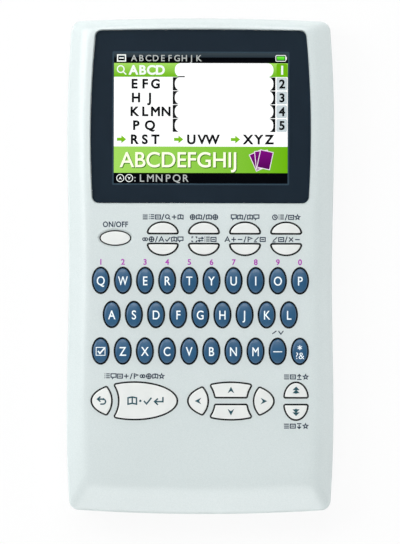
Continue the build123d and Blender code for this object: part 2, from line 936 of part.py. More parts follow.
battery_cover.part.label = "battery_cover"
export_step(battery_cover.part, "parts/battery_cover.step")

# Two cells, side by side and head to tail; each starts at its spring
with BuildPart() as battery_cells:
    for y, side in ((front_cell_y, -1), (rear_cell_y, 1)):
        foot_x = side * (contact_x - spring_length)
        rim_x = foot_x - side * (cell_length - cell_nub_length)
        nub_x = foot_x - side * cell_length
        with BuildSketch(Plane.XY.offset(cell_z)):
            with BuildLine():
                Polyline(
                    (foot_x, y),
                    (foot_x, y + cell_diameter / 2),
                    (rim_x, y + cell_diameter / 2),
                    (rim_x, y + cell_nub_radius),
                    (nub_x, y + cell_nub_radius),
                    (nub_x, y),
                    close=True,
                )
            make_face()
        revolve(axis=Axis((0, y, cell_z), (1, 0, 0)))
    rims = battery_cells.edges().filter_by(GeomType.CIRCLE).group_by(SortBy.RADIUS)[-1]
    fillet(rims, radius=cell_edge_radius)
battery_cells.part.label = "battery_cells"
export_step(battery_cells.part, "parts/battery_cells.step")

# Contacts: two terminals with arms to the board, a bridge at the other end, two springs
contact_reach = cell_diameter / 2 - contact_margin
contact_low_z = groove_top_z + cover_gap
contact_high_z = cell_z + contact_reach
arm_top_z = contact_low_z + contact_arm_height
leg_y = bay_front_y + bay_wall + contact_leg_setback
front_arm_y = bay_front_y + bay_wall - cover_gap


def upright(rear, low, front, high):
    """A rectangle on an end wall of the bay, from one corner to the other."""
    with Locations(((rear + front) / 2, (low + high) / 2)):
        Rectangle(front - rear, high - low)


def spring_path(y, side):
    """Coil of a spring, from the plate on the given side towards its cell."""
    start = contact_x - contact_gap - spring_wire_radius
    height = spring_length - 2 * (contact_gap + spring_wire_radius)
    return Helix(
        pitch=height / spring_turns,
        height=height,
        radius=spring_radius,
        center=(side * start, y, cell_z),
        direction=(-side, 0, 0),
        cone_angle=-degrees(atan((spring_radius - spring_tip_radius) / height)),
    )


with BuildPart() as battery_contacts:
    with BuildSketch(Plane.YZ.offset(-bay_half_width)):
        upright(
            front_cell_y - contact_reach,
            arm_top_z + cover_gap,
            front_cell_y + contact_reach,
            contact_high_z,
        )
        upright(front_cell_y, board_z - contact_arm_height, front_arm_y, board_z)
        upright(
            rear_cell_y - contact_reach,
            contact_low_z,
            rear_cell_y + contact_reach,
            contact_high_z,
        )
        upright(rear_cell_y, contact_low_z, leg_y, arm_top_z)
        upright(leg_y, contact_low_z, leg_y + contact_leg_width, board_z)
    extrude(amount=contact_thickness)
    with BuildSketch(Plane.YZ.offset(contact_x)):
        upright(
            rear_cell_y - contact_reach,
            contact_low_z,
            front_cell_y + contact_reach,
            contact_high_z,
        )
    extrude(amount=contact_thickness)
    for y, side in ((front_cell_y, 1), (rear_cell_y, -1)):
        with BuildSketch(Plane.YZ.offset(side * contact_x)):
            with Locations((y, cell_z)):
                Circle(contact_dimple_radius)
        extrude(amount=-side * (contact_dimple_height - contact_gap))
    for y, side in ((front_cell_y, -1), (rear_cell_y, 1)):
        coil = spring_path(y, side)
        with BuildLine():
            add(coil)
        with BuildSketch(Plane(origin=coil @ 0, z_dir=coil % 0)):
            Circle(spring_wire_radius)
        sweep(is_frenet=True)
battery_contacts.part.label = "battery_contacts"
export_step(battery_contacts.part, "parts/battery_contacts.step")

# Case screws, with a cross cut in each sunk head
with BuildPart() as case_screws:
    with BuildSketch(Plane.XY.offset(seat_z - screw_head_height)):
        with Locations(*screw_places):
            Circle(screw_head_radius)
    extrude(amount=screw_head_height)
    with BuildSketch(Plane.XY.offset(seat_z)):
        with Locations(*screw_places):
            Circle(screw_shank_radius)
    extrude(amount=screw_length)
    with BuildSketch(Plane.XY.offset(seat_z - screw_head_height)):
        with Locations(*screw_places):
            Rectangle(screw_slot_length, screw_slot_width)
            Rectangle(screw_slot_width, screw_slot_length)
    extrude(amount=screw_slot_depth, mode=Mode.SUBTRACT)
case_screws.part.label = "case_screws"
export_step(case_screws.part, "parts/case_screws.step")

# Rubber feet, stuck in their recesses
with BuildPart() as rubber_feet:
    with BuildSketch():
        with Locations(*foot_places):
            Circle(foot_radius)
    extrude(amount=foot_height + foot_recess)
    fillet(rubber_feet.edges().group_by(Axis.Z)[0], radius=foot_edge_radius)
rubber_feet.part.label = "rubber_feet"
export_step(rubber_feet.part, "parts/rubber_feet.step")
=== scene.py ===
import json
from math import cos, radians, sin, tau

import bmesh
import bpy
from mathutils import Matrix, Vector
from mathutils.bvhtree import BVHTree
from mathutils.geometry import convex_hull_2d

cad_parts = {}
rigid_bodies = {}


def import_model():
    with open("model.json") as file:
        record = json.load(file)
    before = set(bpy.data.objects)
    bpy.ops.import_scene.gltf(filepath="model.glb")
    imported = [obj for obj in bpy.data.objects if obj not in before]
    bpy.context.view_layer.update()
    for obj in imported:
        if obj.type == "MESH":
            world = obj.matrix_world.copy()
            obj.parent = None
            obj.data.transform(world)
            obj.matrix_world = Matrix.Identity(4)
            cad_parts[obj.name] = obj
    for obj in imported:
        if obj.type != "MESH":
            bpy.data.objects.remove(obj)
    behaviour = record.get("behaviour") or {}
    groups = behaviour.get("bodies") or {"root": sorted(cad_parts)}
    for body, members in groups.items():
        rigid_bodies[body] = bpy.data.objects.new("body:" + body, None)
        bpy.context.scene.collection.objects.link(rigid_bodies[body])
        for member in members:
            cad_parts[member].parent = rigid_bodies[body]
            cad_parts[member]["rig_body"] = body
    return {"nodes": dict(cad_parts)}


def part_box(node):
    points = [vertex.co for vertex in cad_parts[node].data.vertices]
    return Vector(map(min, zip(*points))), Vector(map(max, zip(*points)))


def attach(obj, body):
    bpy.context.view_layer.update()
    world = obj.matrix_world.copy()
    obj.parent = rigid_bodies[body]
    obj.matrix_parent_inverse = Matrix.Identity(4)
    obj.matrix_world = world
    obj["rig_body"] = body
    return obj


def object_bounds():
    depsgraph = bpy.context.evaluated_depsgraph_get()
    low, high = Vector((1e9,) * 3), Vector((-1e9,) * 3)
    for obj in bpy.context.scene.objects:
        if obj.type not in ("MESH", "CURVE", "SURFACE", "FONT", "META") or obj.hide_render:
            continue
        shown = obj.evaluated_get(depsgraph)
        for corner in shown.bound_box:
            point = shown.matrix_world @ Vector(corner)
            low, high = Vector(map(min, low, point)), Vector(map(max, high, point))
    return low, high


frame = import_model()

# Pocket electronic dictionary, lying on its back. Metres, +Y towards the display end.
MM = 0.001
cad_low, cad_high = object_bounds()
face_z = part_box("front_case")[1].z
window_low, window_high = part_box("display_window")
glass_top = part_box("lcd_panel")[1].z / MM

# The lit area of the display, in millimetres
VIEW_WIDTH = 50.8
VIEW_HEIGHT = 38.1
VIEW_TOP_BORDER = 6.95

# Prints on the part: how far ink stands above and reaches below the surface, and the size of
# the cells that it is cut into to follow a curve, in millimetres
INK = 0.012
INK_ROOT = 0.03
CELL = 0.6

# Heights within this of a plane count as on it, in millimetres
ON_PLANE = 0.02

# Height of the font's capitals as a share of its size
CAP_SHARE = 0.682

# A face is a wall or level where its normal's upward part is below or above these
WALL_BELOW = 0.3
LEVEL_ABOVE = 0.9


def seen(red, green, blue):
    """A colour given as it looks on a screen, 0 to 255, in Blender's linear values."""
    levels = [value / 255 for value in (red, green, blue)]
    return tuple(v / 12.92 if v <= 0.04045 else ((v + 0.055) / 1.055) ** 2.4 for v in levels)


# ---------- colours

PEARL = seen(212, 221, 221)
PEARL_DEEP = seen(210, 219, 219)
PEARL_PALE = seen(214, 223, 223)
FLAKE_DEEP = seen(244, 246, 246)
FLAKE_PALE = seen(255, 255, 255)
# Black painted as shade in the gaps round the keys: on the keys' sides, the hole walls and rings
# round the holes
PAINTED_GAP_SHADE = seen(4, 8, 10)
LABEL_BLUE = seen(8, 38, 64)
DIGIT_MAGENTA = seen(172, 34, 176)
TEAL = seen(10, 72, 84)
WHITE_KEY_DEEP = seen(222, 226, 224)
WHITE_KEY_PALE = seen(228, 231, 229)
BLUE_KEY_DEEP = seen(36, 81, 115)
BLUE_KEY_PALE = seen(42, 88, 123)
LIT_BASE = seen(2, 3, 4)
CELL_BARE = seen(190, 192, 194)
CELL_DARK = seen(34, 46, 60)
CELL_BAND = seen(206, 150, 60)

# ---------- materials

# Share of light that the clear plate mirrors when it is seen straight on
CLEAR_MIRROR = 0.034
CLEAR_TINT = (0.985, 0.99, 0.99, 1)
CLEAR_ROUGHNESS = 0.03

# Pitch of the display's dots, in millimetres, and the strength of its light. A wave texture
# of scale 1 turns through WAVE_TURN radians in one unit.
DOT_PITCH = VIEW_WIDTH / 320
LIT_STRENGTH = 1.24
WAVE_TURN = 20

# Size of the pattern of tracks on the board, in millimetres
TRACK_CELL = 2.4

# Height over the face below which a key's sides are painted black as shade, in millimetres
SHADE_TOP_RISE = 0.3
POWER_SHADE_TOP_RISE = -0.3


def feed(tree, socket, value):
    """Gives a socket a value, or links another socket to it."""
    if isinstance(value, bpy.types.NodeSocket):
        tree.links.new(value, socket)
    else:
        socket.default_value = value


def add_node(tree, kind, inputs=None, **settings):
    """A new node, with its inputs given by name or number."""
    made = tree.nodes.new(kind)
    for name, value in settings.items():
        setattr(made, name, value)
    for name, value in (inputs or {}).items():
        feed(tree, made.inputs[name], value)
    return made


def calculate(tree, operation, *values):
    """The result of a Math node."""
    made = add_node(tree, "ShaderNodeMath", dict(enumerate(values)), operation=operation)
    return made.outputs["Value"]


def colour_ramp(tree, value, stops):
    """Colours along a value, each stop a place and a colour."""
    made = add_node(tree, "ShaderNodeValToRGB", {"Fac": value})
    elements = made.color_ramp.elements
    while len(elements) < len(stops):
        elements.new(0.5)
    for element, (place, colour) in zip(elements, stops):
        element.position = place
        element.color = (*colour, 1)
    return made


def mix_shaders(tree, factor, first, second, output):
    """Mixes two shader nodes into the tree's output."""
    inputs = {0: factor, 1: first.outputs[0], 2: second.outputs[0]}
    mix = add_node(tree, "ShaderNodeMixShader", inputs)
    tree.links.new(mix.outputs["Shader"], tree.nodes[output].inputs["Surface"])


def empty_material(name):
    """A material with Blender's own Principled shader, and its node tree."""
    material = bpy.data.materials.new(name)
    material.use_nodes = True
    return material, material.node_tree


class Finish:
    """A node material: a Principled shader and the nodes that drive it, in object space."""

    def __init__(self, name, colour, roughness, **sockets):
        self.material, self.tree = empty_material(name)
        self.shader = self.tree.nodes["Principled BSDF"]
        self.place = self.node("ShaderNodeTexCoord").outputs["Object"]
        self.set("Base Color", (*colour, 1))
        self.set("Roughness", roughness)
        for socket, value in sockets.items():
            self.set(socket.replace("_", " "), value)

    def set(self, socket, value):
        """Gives an input of the shader a value or a link."""
        feed(self.tree, self.shader.inputs[socket], value)

    def node(self, kind, inputs=None, **settings):
        """A new node of the material."""
        return add_node(self.tree, kind, inputs, **settings)

    def noise(self, size, detail=2.0):
        """Cloudy values from 0 to 1, in blots of about this many millimetres."""
        scale = 1 / (size * MM)
        inputs = {"Vector": self.place, "Scale": scale, "Detail": detail}
        return self.node("ShaderNodeTexNoise", inputs).outputs["Fac"]

    def flakes(self, size):
        """One random value for each small cell, as from flakes in a paint."""
        inputs = {"Vector": self.place, "Scale": 1 / (size * MM)}
        cells = self.node("ShaderNodeTexVoronoi", inputs).outputs["Color"]
        return self.node("ShaderNodeSeparateColor", {"Color": cells}).outputs["Red"]

    def along(self, axis):
        """Place along an axis of the part, in metres."""
        return self.node("ShaderNodeSeparateXYZ", {"Vector": self.place}).outputs[axis]

    def spread(self, value, low, high, start=0.0, end=1.0):
        """Carries a value from start..end to low..high."""
        inputs = {"Value": value, "From Min": start, "From Max": end, "To Min": low, "To Max": high}
        return self.node("ShaderNodeMapRange", inputs).outputs["Result"]

    def ramp(self, value, *stops):
        """Colours along a value, each stop a place and a colour."""
        return colour_ramp(self.tree, value, stops).outputs["Color"]

    def blend(self, factor, first, second, kind="MIX"):
        """Mixes two colours. The node's colour sockets are its inputs 6 and 7 and its output 2."""
        inputs = {0: factor, 6: first, 7: second}
        return self.node("ShaderNodeMix", inputs, data_type="RGBA", blend_type=kind).outputs[2]

    def bump(self, height, depth):
        """Raises the surface by up to this many millimetres."""
        inputs = {"Height": height, "Distance": depth * MM, "Strength": 1.0}
        self.set("Normal", self.node("ShaderNodeBump", inputs).outputs["Normal"])

    def grain(self, size, depth, low, high):
        """A fine moulded skin, with its sheen varying from low to high."""
        self.set("Roughness", self.spread(self.noise(size * 3), low, high))
        self.bump(self.noise(size, detail=3.0), depth)


def moulded(name, colour, drift, size, depth, low, high, **sockets):
    """A moulded plastic or rubber whose colour drifts a little and whose skin is grained.

    Drift is a share of the colour, size and depth are the grain's in millimetres, and the
    roughness varies from low to high.
    """
    made = Finish(name, colour, (low + high) / 2, **sockets)
    pale = tuple(min(1.0, value * (1 + drift)) for value in colour)
    deep = tuple(value * (1 - drift) for value in colour)
    made.set("Base Color", made.ramp(made.noise(12), (0.3, deep), (0.7, pale)))
    made.grain(size, depth, low, high)
    return made.material


def pearl_paint():
    """Silver-white pearl lacquer: small flakes under a clear coat."""
    made = Finish("pearl_lacquer", PEARL, 0.4, Coat_Weight=0.6, Coat_Roughness=0.2)
    cloud = made.ramp(made.noise(30), (0.3, PEARL_DEEP), (0.7, PEARL_PALE))
    glint = made.ramp(made.flakes(0.14), (0.0, FLAKE_DEEP), (1.0, FLAKE_PALE))
    made.set("Base Color", made.blend(1.0, cloud, glint, "MULTIPLY"))
    made.grain(0.5, 0.004, 0.34, 0.46)
    return made.material


def key_lacquer(name, deep, pale, shade_top_z, low, high):
    """A lacquered key cap, its sides painted black as shade below a given height over the case's
    face.
    """
    made = Finish(name, pale, low, Coat_Weight=0.35, Coat_Roughness=0.1)
    cap = made.ramp(made.noise(4), (0.3, deep), (0.7, pale))
    # Painted shade: the cap turns black below this height, where the gap round the key lies in
    # shade
    painted_side_shade = made.spread(made.along("Z"), 1.0, 0.0, shade_top_z - 0.05 * MM, shade_top_z)
    made.set("Base Color", made.blend(painted_side_shade, cap, (*PAINTED_GAP_SHADE, 1)))
    made.grain(0.3, 0.003, low, high)
    return made.material


def clear_plate():
    """A clear plate: it mirrors a little, more at a slant, and lets the rest straight through."""
    material, tree = empty_material("clear_acrylic")
    tree.nodes.remove(tree.nodes["Principled BSDF"])
    through = add_node(tree, "ShaderNodeBsdfTransparent", {"Color": CLEAR_TINT})
    mirror = add_node(tree, "ShaderNodeBsdfGlossy", {"Roughness": CLEAR_ROUGHNESS})
    slant = add_node(tree, "ShaderNodeLayerWeight").outputs["Facing"]
    rise = calculate(tree, "POWER", slant, 5.0)
    share = calculate(tree, "MULTIPLY_ADD", rise, 1 - CLEAR_MIRROR, CLEAR_MIRROR)
    mix_shaders(tree, share, through, mirror, "Material Output")
    return material


def lit(name, low_colour, high_colour, axis="Y", start=0.0, end=1.0):
    """A lit colour of the display, from one end of an axis to the other, in a grid of dots."""
    made = Finish(name, LIT_BASE, 0.3, Specular_IOR_Level=0.0)
    place = made.spread(made.along(axis), 0, 1, start, end)
    shade = made.ramp(place, (0, low_colour), (1, high_colour))
    dots = None
    for direction in ("X", "Y"):
        inputs = {"Vector": made.place, "Scale": tau / (WAVE_TURN * DOT_PITCH * MM)}
        wave = made.node("ShaderNodeTexWave", inputs, bands_direction=direction)
        lines = made.ramp(wave.outputs["Color"], (0.0, (0.94, 0.94, 0.94)), (0.2, (1, 1, 1)))
        dots = lines if dots is None else made.blend(1.0, dots, lines, "MULTIPLY")
    made.set("Emission Color", made.blend(1.0, shade, dots, "MULTIPLY"))
    made.set("Emission Strength", LIT_STRENGTH)
    return made.material


def printed_ink(name, colour, drift=0.06):
    """Pad-printed ink, a little uneven and slightly shiny."""
    return moulded(name, colour, drift, 0.2, 0.002, 0.4, 0.55)


def board_mask():
    """Green solder mask over copper tracks."""
    made = Finish("solder_mask", seen(20, 84, 52), 0.35, Coat_Weight=0.4)
    scale = 1 / (TRACK_CELL * MM)
    inputs = {"Vector": made.place, "Scale": scale, "Mortar Size": 0.16, "Mortar Smooth": 0.0}
    tracks = made.node("ShaderNodeTexBrick", inputs, offset=0.37, squash=2.2, squash_frequency=3)
    mask = made.ramp(tracks.outputs["Fac"], (0.0, seen(18, 78, 48)), (1.0, seen(44, 122, 70)))
    made.set("Base Color", mask)
    made.bump(tracks.outputs["Fac"], 0.03)
    made.set("Roughness", made.spread(made.noise(1.5), 0.25, 0.45))
    return made.material


def cell_wrap():
    """The printed steel can of a dry cell: a dark band, an orange band and bare ends."""
    made = Finish("cell_wrap", CELL_BARE, 0.3, Coat_Weight=0.3, Metallic=0.35)
    low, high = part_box("battery_cells")
    bands = ((0.0, CELL_BARE), (0.035, CELL_DARK), (0.665, CELL_BAND), (0.965, CELL_BARE))
    place = made.spread(made.along("X"), 0, 1, low.x, high.x)
    ramp = colour_ramp(made.tree, place, bands)
    ramp.color_ramp.interpolation = "CONSTANT"
    made.set("Base Color", ramp.outputs["Color"])
    made.grain(0.4, 0.003, 0.22, 0.36)
    return made.material


def brushed_metal(name, colour, low, high):
    """Rolled sheet or wire, with fine lines along it."""
    made = Finish(name, colour, low, Metallic=1.0)
    made.grain(0.25, 0.004, low, high)
    return made.material


pearl = pearl_paint()
# Black finish painted as shade on the key holes' walls and on rings round the holes
gap_shade = moulded("gap_shade", PAINTED_GAP_SHADE, 0.1, 0.3, 0.004, 0.6, 0.75, Specular_IOR_Level=0.1)
# Heights below which the keys' sides are painted black as shade
shade_top_z = face_z + SHADE_TOP_RISE * MM
power_shade_top_z = face_z + POWER_SHADE_TOP_RISE * MM
blue_cap = key_lacquer("blue_lacquer", BLUE_KEY_DEEP, BLUE_KEY_PALE, shade_top_z, 0.28, 0.4)
white_cap = key_lacquer("white_lacquer", WHITE_KEY_DEEP, WHITE_KEY_PALE, shade_top_z, 0.3, 0.42)
power_cap = key_lacquer("power_lacquer", WHITE_KEY_DEEP, WHITE_KEY_PALE, power_shade_top_z, 0.3, 0.42)
clear = clear_plate()
dull = {"Specular_IOR_Level": 0.15}
window_ink = moulded("window_ink", seen(24, 39, 52), 0.05, 0.5, 0.003, 0.4, 0.5, **dull)
rim_ink = moulded("rim_ink", seen(52, 72, 86), 0.06, 0.3, 0.002, 0.4, 0.5, **dull)
panel_glass = moulded("panel_glass", seen(34, 40, 46), 0.04, 0.8, 0.001, 0.08, 0.14)
light_guide = moulded("light_guide", seen(232, 234, 236), 0.02, 0.5, 0.004, 0.35, 0.5)
ribbon_film = moulded("ribbon_film", seen(196, 126, 44), 0.12, 0.4, 0.004, 0.25, 0.4)
solder_mask = board_mask()
chip_epoxy = moulded("chip_epoxy", seen(34, 34, 36), 0.15, 0.12, 0.006, 0.5, 0.7)
membrane_rubber = moulded("membrane_rubber", seen(150, 156, 160), 0.05, 0.3, 0.006, 0.55, 0.75)
foot_rubber = moulded("foot_rubber", seen(58, 62, 66), 0.08, 0.2, 0.01, 0.7, 0.9)
cell_can = cell_wrap()
contact_nickel = brushed_metal("contact_nickel", seen(200, 200, 196), 0.22, 0.4)
screw_zinc = brushed_metal("screw_zinc", seen(176, 180, 184), 0.28, 0.45)
label_ink = printed_ink("label_ink", LABEL_BLUE)
digit_ink = printed_ink("digit_ink", DIGIT_MAGENTA)
teal_ink = printed_ink("teal_ink", TEAL)
white_ink = printed_ink("white_ink", seen(240, 248, 250), 0.02)

# ---------- CAD nodes

names = frame["nodes"]
BLUE_KEYS = [name for name in names if name.startswith("key_") and name != "key_membrane"]
WHITE_KEYS = [name for name in names if name.endswith("_key") or name.startswith("function_")]
NODE_FINISHES = {
    "front_case": pearl,
    "rear_case": pearl,
    "battery_cover": pearl,
    "display_window": clear,
    "lcd_panel": panel_glass,
    "backlight_unit": light_guide,
    "display_ribbon": ribbon_film,
    "main_board": solder_mask,
    "board_components": chip_epoxy,
    "key_membrane": membrane_rubber,
    "battery_cells": cell_can,
    "battery_contacts": contact_nickel,
    "case_screws": screw_zinc,
    "rubber_feet": foot_rubber,
    **dict.fromkeys(WHITE_KEYS, white_cap),
    **dict.fromkeys(BLUE_KEYS, blue_cap),
    "power_key": power_cap,
}
for node, finish in NODE_FINISHES.items():
    slots = frame["nodes"][node].data.materials
    slots.clear()
    slots.append(finish)


def shade_key_holes():
    """The upright walls of the key holes get a second finish of the case, painted black as shade in
    the gaps.
    """
    mesh = frame["nodes"]["front_case"].data
    mesh.materials.append(gap_shade)
    holes = [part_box(name) for name in BLUE_KEYS + WHITE_KEYS]
    left = min(low.x for low, high in holes) - MM
    right = max(high.x for low, high in holes) + MM
    rear = min(low.y for low, high in holes) - MM
    front = max(high.y for low, high in holes) + MM
    for polygon in mesh.polygons:
        x, y, z = polygon.center
        if left < x < right and rear < y < front and abs(polygon.normal.z) < WALL_BELOW:
            polygon.material_index = 1


shade_key_holes()

# ---------- artwork


def arc(x, y, radius, start=0, end=360, steps=20):
    """Points along part of a circle, angles in degrees."""
    turns = [radians(start + (end - start) * i / steps) for i in range(steps + 1)]
    return [(x + radius * cos(turn), y + radius * sin(turn)) for turn in turns]


def ring(x, y, radius, steps=20):
    """Points round a whole circle, the first not repeated."""
    return arc(x, y, radius, 0, 360 - 360 / steps, steps - 1)


def rounded(left, bottom, right, top, radius):
    """Points round a rectangle with rounded corners."""
    corners = (
        (right - radius, top - radius, 0),
        (left + radius, top - radius, 90),
        (left + radius, bottom + radius, 180),
        (right - radius, bottom + radius, 270),
    )
    points = []
    for x, y, start in corners:
        points += arc(x, y, radius, start, start + 90, 5)
    return points


def rectangle(left, bottom, right, top):
    """Corners of a rectangle."""
    return [(left, bottom), (right, bottom), (right, top), (left, top)]


def embolden(outline, weight):
    """Moves the border of a flat mesh outwards."""
    mesh = bmesh.new()
    mesh.from_mesh(outline)
    bmesh.ops.remove_doubles(mesh, verts=mesh.verts, dist=1e-5)
    moves = {}
    for edge in mesh.edges:
        if not edge.is_boundary:
            continue
        face = edge.link_faces[0]
        along = (edge.verts[1].co - edge.verts[0].co).normalized()
        out = Vector((along.y, -along.x, 0))
        if out.dot(face.calc_center_median() - edge.verts[0].co) > 0:
            out.negate()
        for vertex in edge.verts:
            moves.setdefault(vertex, []).append(out)
    for vertex, outs in moves.items():
        mean = sum(outs, Vector()).normalized()
        vertex.co += mean * weight / max(0.4, mean.dot(outs[0]))
    mesh.to_mesh(outline)
    mesh.free()


class Artwork:
    """Flat shapes in millimetres, gathered before they are printed on something."""

    def __init__(self):
        self.mesh = bmesh.new()

    def area(self, points):
        """A filled outline."""
        face = self.mesh.faces.new([self.mesh.verts.new((x, y, 0)) for x, y in points])
        face.normal_update()
        if face.normal.z < 0:
            face.normal_flip()
        bmesh.ops.triangulate(self.mesh, faces=[face])

    def frame(self, outer, inner):
        """The area between two outlines."""
        edges = []
        for points in (outer, inner):
            corners = [self.mesh.verts.new((x, y, 0)) for x, y in points]
            edges += [self.mesh.edges.new(pair) for pair in zip(corners, corners[1:] + corners[:1])]
        bmesh.ops.triangle_fill(self.mesh, use_beauty=True, edges=edges, normal=(0, 0, 1))

    def stroke(self, points, width, closed=False):
        """A line of even width through the points."""
        count = len(points)
        spots = [Vector(point) for point in points]
        sides = []
        for i, spot in enumerate(spots):
            before = spots[i - 1] if closed or i else None
            after = spots[(i + 1) % count] if closed or i < count - 1 else None
            ways = [(b - a).normalized() for a, b in ((before, spot), (spot, after)) if a and b]
            normals = [Vector((-way.y, way.x)) for way in ways]
            mean = sum(normals, Vector((0, 0))).normalized()
            reach = width / 2 / max(0.5, mean.dot(normals[0]))
            sides.append((spot + mean * reach, spot - mean * reach))
        corners = [[self.mesh.verts.new((*side, 0)) for side in pair] for pair in sides]
        links = zip(corners, corners[1:] + corners[:1]) if closed else zip(corners, corners[1:])
        for (left, right), (next_left, next_right) in links:
            self.mesh.faces.new((right, next_right, next_left, left))

    def text(self, words, x, y, cap_height, spacing=1.0, width=1.0, weight=0.0):
        """Words centred on a point, by the height of their capitals."""
        curve = bpy.data.curves.new("words", "FONT")
        curve.body = words
        curve.size = cap_height / CAP_SHARE
        curve.align_x = "CENTER"
        curve.space_character = spacing
        holder = bpy.data.objects.new("words", curve)
        outline = bpy.data.meshes.new_from_object(holder)
        place = Matrix.Translation((x, y - cap_height / 2, 0))
        outline.transform(place @ Matrix.Diagonal((width, 1, 1, 1)))
        embolden(outline, weight)
        self.mesh.from_mesh(outline)
        bpy.data.objects.remove(holder)
        bpy.data.curves.remove(curve)
        bpy.data.meshes.remove(outline)

    def glyph(self, name, x, y, size, width):
        """One pictogram, centred on a point."""
        for points, closed in PICTOGRAMS[name]:
            placed = [(x + (u - 0.5) * size, y + (v - 0.5) * size) for u, v in points]
            self.stroke(placed, width, closed)

    def row(self, names, x, y, size, pitch, width):
        """A line of pictograms, centred on a point. A slash takes half a place."""
        places = [0.55 if name == "slash" else 1.0 for name in names]
        at = x - sum(places) * pitch / 2
        for name, place in zip(names, places):
            self.glyph(name, at + place * pitch / 2, y, size, width)
            at += place * pitch


def line(*points):
    """An open stroke of a pictogram."""
    return (points, False)


def loop(*points):
    """A closed stroke of a pictogram."""
    return (points, True)


def star_points(outer, inner, tips):
    """Points round a star in the middle of a pictogram."""
    points = []
    for i in range(2 * tips):
        radius = inner if i % 2 else outer
        turn = tau * i / (2 * tips)
        points.append((0.5 + radius * sin(turn), 0.5 + radius * cos(turn)))
    return points


# Strokes of each pictogram in a square from 0 to 1
PICTOGRAMS = {
    "bars": [line((0.05, v), (0.95, v)) for v in (0.15, 0.5, 0.85)],
    "list": [
        line((start, v), (end, v))
        for v in (0.2, 0.55, 0.9)
        for start, end in ((0.02, 0.16), (0.32, 0.98))
    ],
    "lens": (loop(*ring(0.42, 0.58, 0.34)), line((0.66, 0.34), (0.97, 0.03))),
    "plus": (line((0.5, 0.08), (0.5, 0.92)), line((0.08, 0.5), (0.92, 0.5))),
    "minus": (line((0.08, 0.5), (0.92, 0.5)),),
    "cross": (line((0.12, 0.12), (0.88, 0.88)), line((0.12, 0.88), (0.88, 0.12))),
    "tick": (line((0.05, 0.5), (0.36, 0.14), (0.95, 0.88)),),
    "book": (
        loop((0.04, 0.14), (0.5, 0.24), (0.96, 0.14), (0.96, 0.82), (0.5, 0.92), (0.04, 0.82)),
        line((0.5, 0.24), (0.5, 0.92)),
    ),
    "card": (
        loop((0.04, 0.14), (0.96, 0.14), (0.96, 0.86), (0.04, 0.86)),
        line((0.22, 0.5), (0.78, 0.5)),
    ),
    "clock": (loop(*ring(0.5, 0.5, 0.43)), line((0.5, 0.78), (0.5, 0.5), (0.72, 0.38))),
    "pen": (line((0.2, 0.24), (0.92, 0.94)), line((0.06, 0.06), (0.62, 0.06))),
    "corners": (
        line((0.3, 0.94), (0.06, 0.94), (0.06, 0.68)),
        line((0.7, 0.94), (0.94, 0.94), (0.94, 0.68)),
        line((0.3, 0.06), (0.06, 0.06), (0.06, 0.32)),
        line((0.7, 0.06), (0.94, 0.06), (0.94, 0.32)),
    ),
    "swap": (
        line((0.04, 0.7), (0.9, 0.7)),
        line((0.66, 0.94), (0.94, 0.7), (0.66, 0.5)),
        line((0.96, 0.26), (0.1, 0.26)),
        line((0.34, 0.46), (0.06, 0.26), (0.34, 0.02)),
    ),
    "globe": (
        loop(*ring(0.5, 0.5, 0.44)),
        line((0.06, 0.5), (0.94, 0.5)),
        line((0.5, 0.06), (0.5, 0.94)),
    ),
    "bubble": (
        loop(
            (0.04, 0.3), (0.3, 0.3), (0.3, 0.04), (0.56, 0.3),
            (0.96, 0.3), (0.96, 0.92), (0.04, 0.92),
        ),
    ),
    "links": (loop(*ring(0.31, 0.5, 0.25)), loop(*ring(0.69, 0.5, 0.25))),
    "star": (loop(*star_points(0.48, 0.2, 5)),),
    "letter": (line((0.04, 0.04), (0.5, 0.96), (0.96, 0.04)), line((0.22, 0.36), (0.78, 0.36))),
    "flag": (line((0.16, 0.02), (0.16, 0.94), (0.9, 0.7), (0.16, 0.46)),),
    "upward": (
        line((0.08, 0.06), (0.92, 0.06)),
        line((0.5, 0.22), (0.5, 0.94)),
        line((0.16, 0.6), (0.5, 0.94), (0.84, 0.6)),
    ),
    "downward": (
        line((0.08, 0.94), (0.92, 0.94)),
        line((0.5, 0.78), (0.5, 0.06)),
        line((0.16, 0.4), (0.5, 0.06), (0.84, 0.4)),
    ),
    "slash": (line((0.32, -0.04), (0.68, 1.04)),),
    "rise": (line((0.1, 0.3), (0.85, 0.85)),),
    "dip": (line((0.06, 0.85), (0.5, 0.25), (0.94, 0.85)),),
    "return": (
        line((0.96, 0.92), (0.96, 0.42), (0.12, 0.42)),
        line((0.42, 0.76), (0.06, 0.42), (0.42, 0.08)),
    ),
    "back": (
        line((0.12, 0.68), (0.66, 0.68), *arc(0.66, 0.41, 0.27, 90, -90, 8), (0.36, 0.14)),
        line((0.38, 0.96), (0.06, 0.68), (0.38, 0.4)),
    ),
}


def finish_piece(mesh, name, body, material):
    """Turns a bmesh in metres into a closed piece that rides on a body."""
    bmesh.ops.remove_doubles(mesh, verts=mesh.verts, dist=1e-7)
    bmesh.ops.recalc_face_normals(mesh, faces=mesh.faces)
    data = bpy.data.meshes.new(name)
    mesh.to_mesh(data)
    mesh.free()
    data.materials.append(material)
    piece = bpy.data.objects.new(name, data)
    bpy.context.scene.collection.objects.link(piece)
    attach(piece, body)


def thicken(mesh, top_of, root_of):
    """Turns flat shapes into solid ones. Two functions give the heights of their top and root."""
    roots = list(mesh.verts)
    made = bmesh.ops.extrude_face_region(mesh, geom=list(mesh.faces))
    for vertex in [item for item in made["geom"] if isinstance(item, bmesh.types.BMVert)]:
        vertex.co.z = top_of(vertex.co)
    for vertex in roots:
        vertex.co.z = root_of(vertex.co)


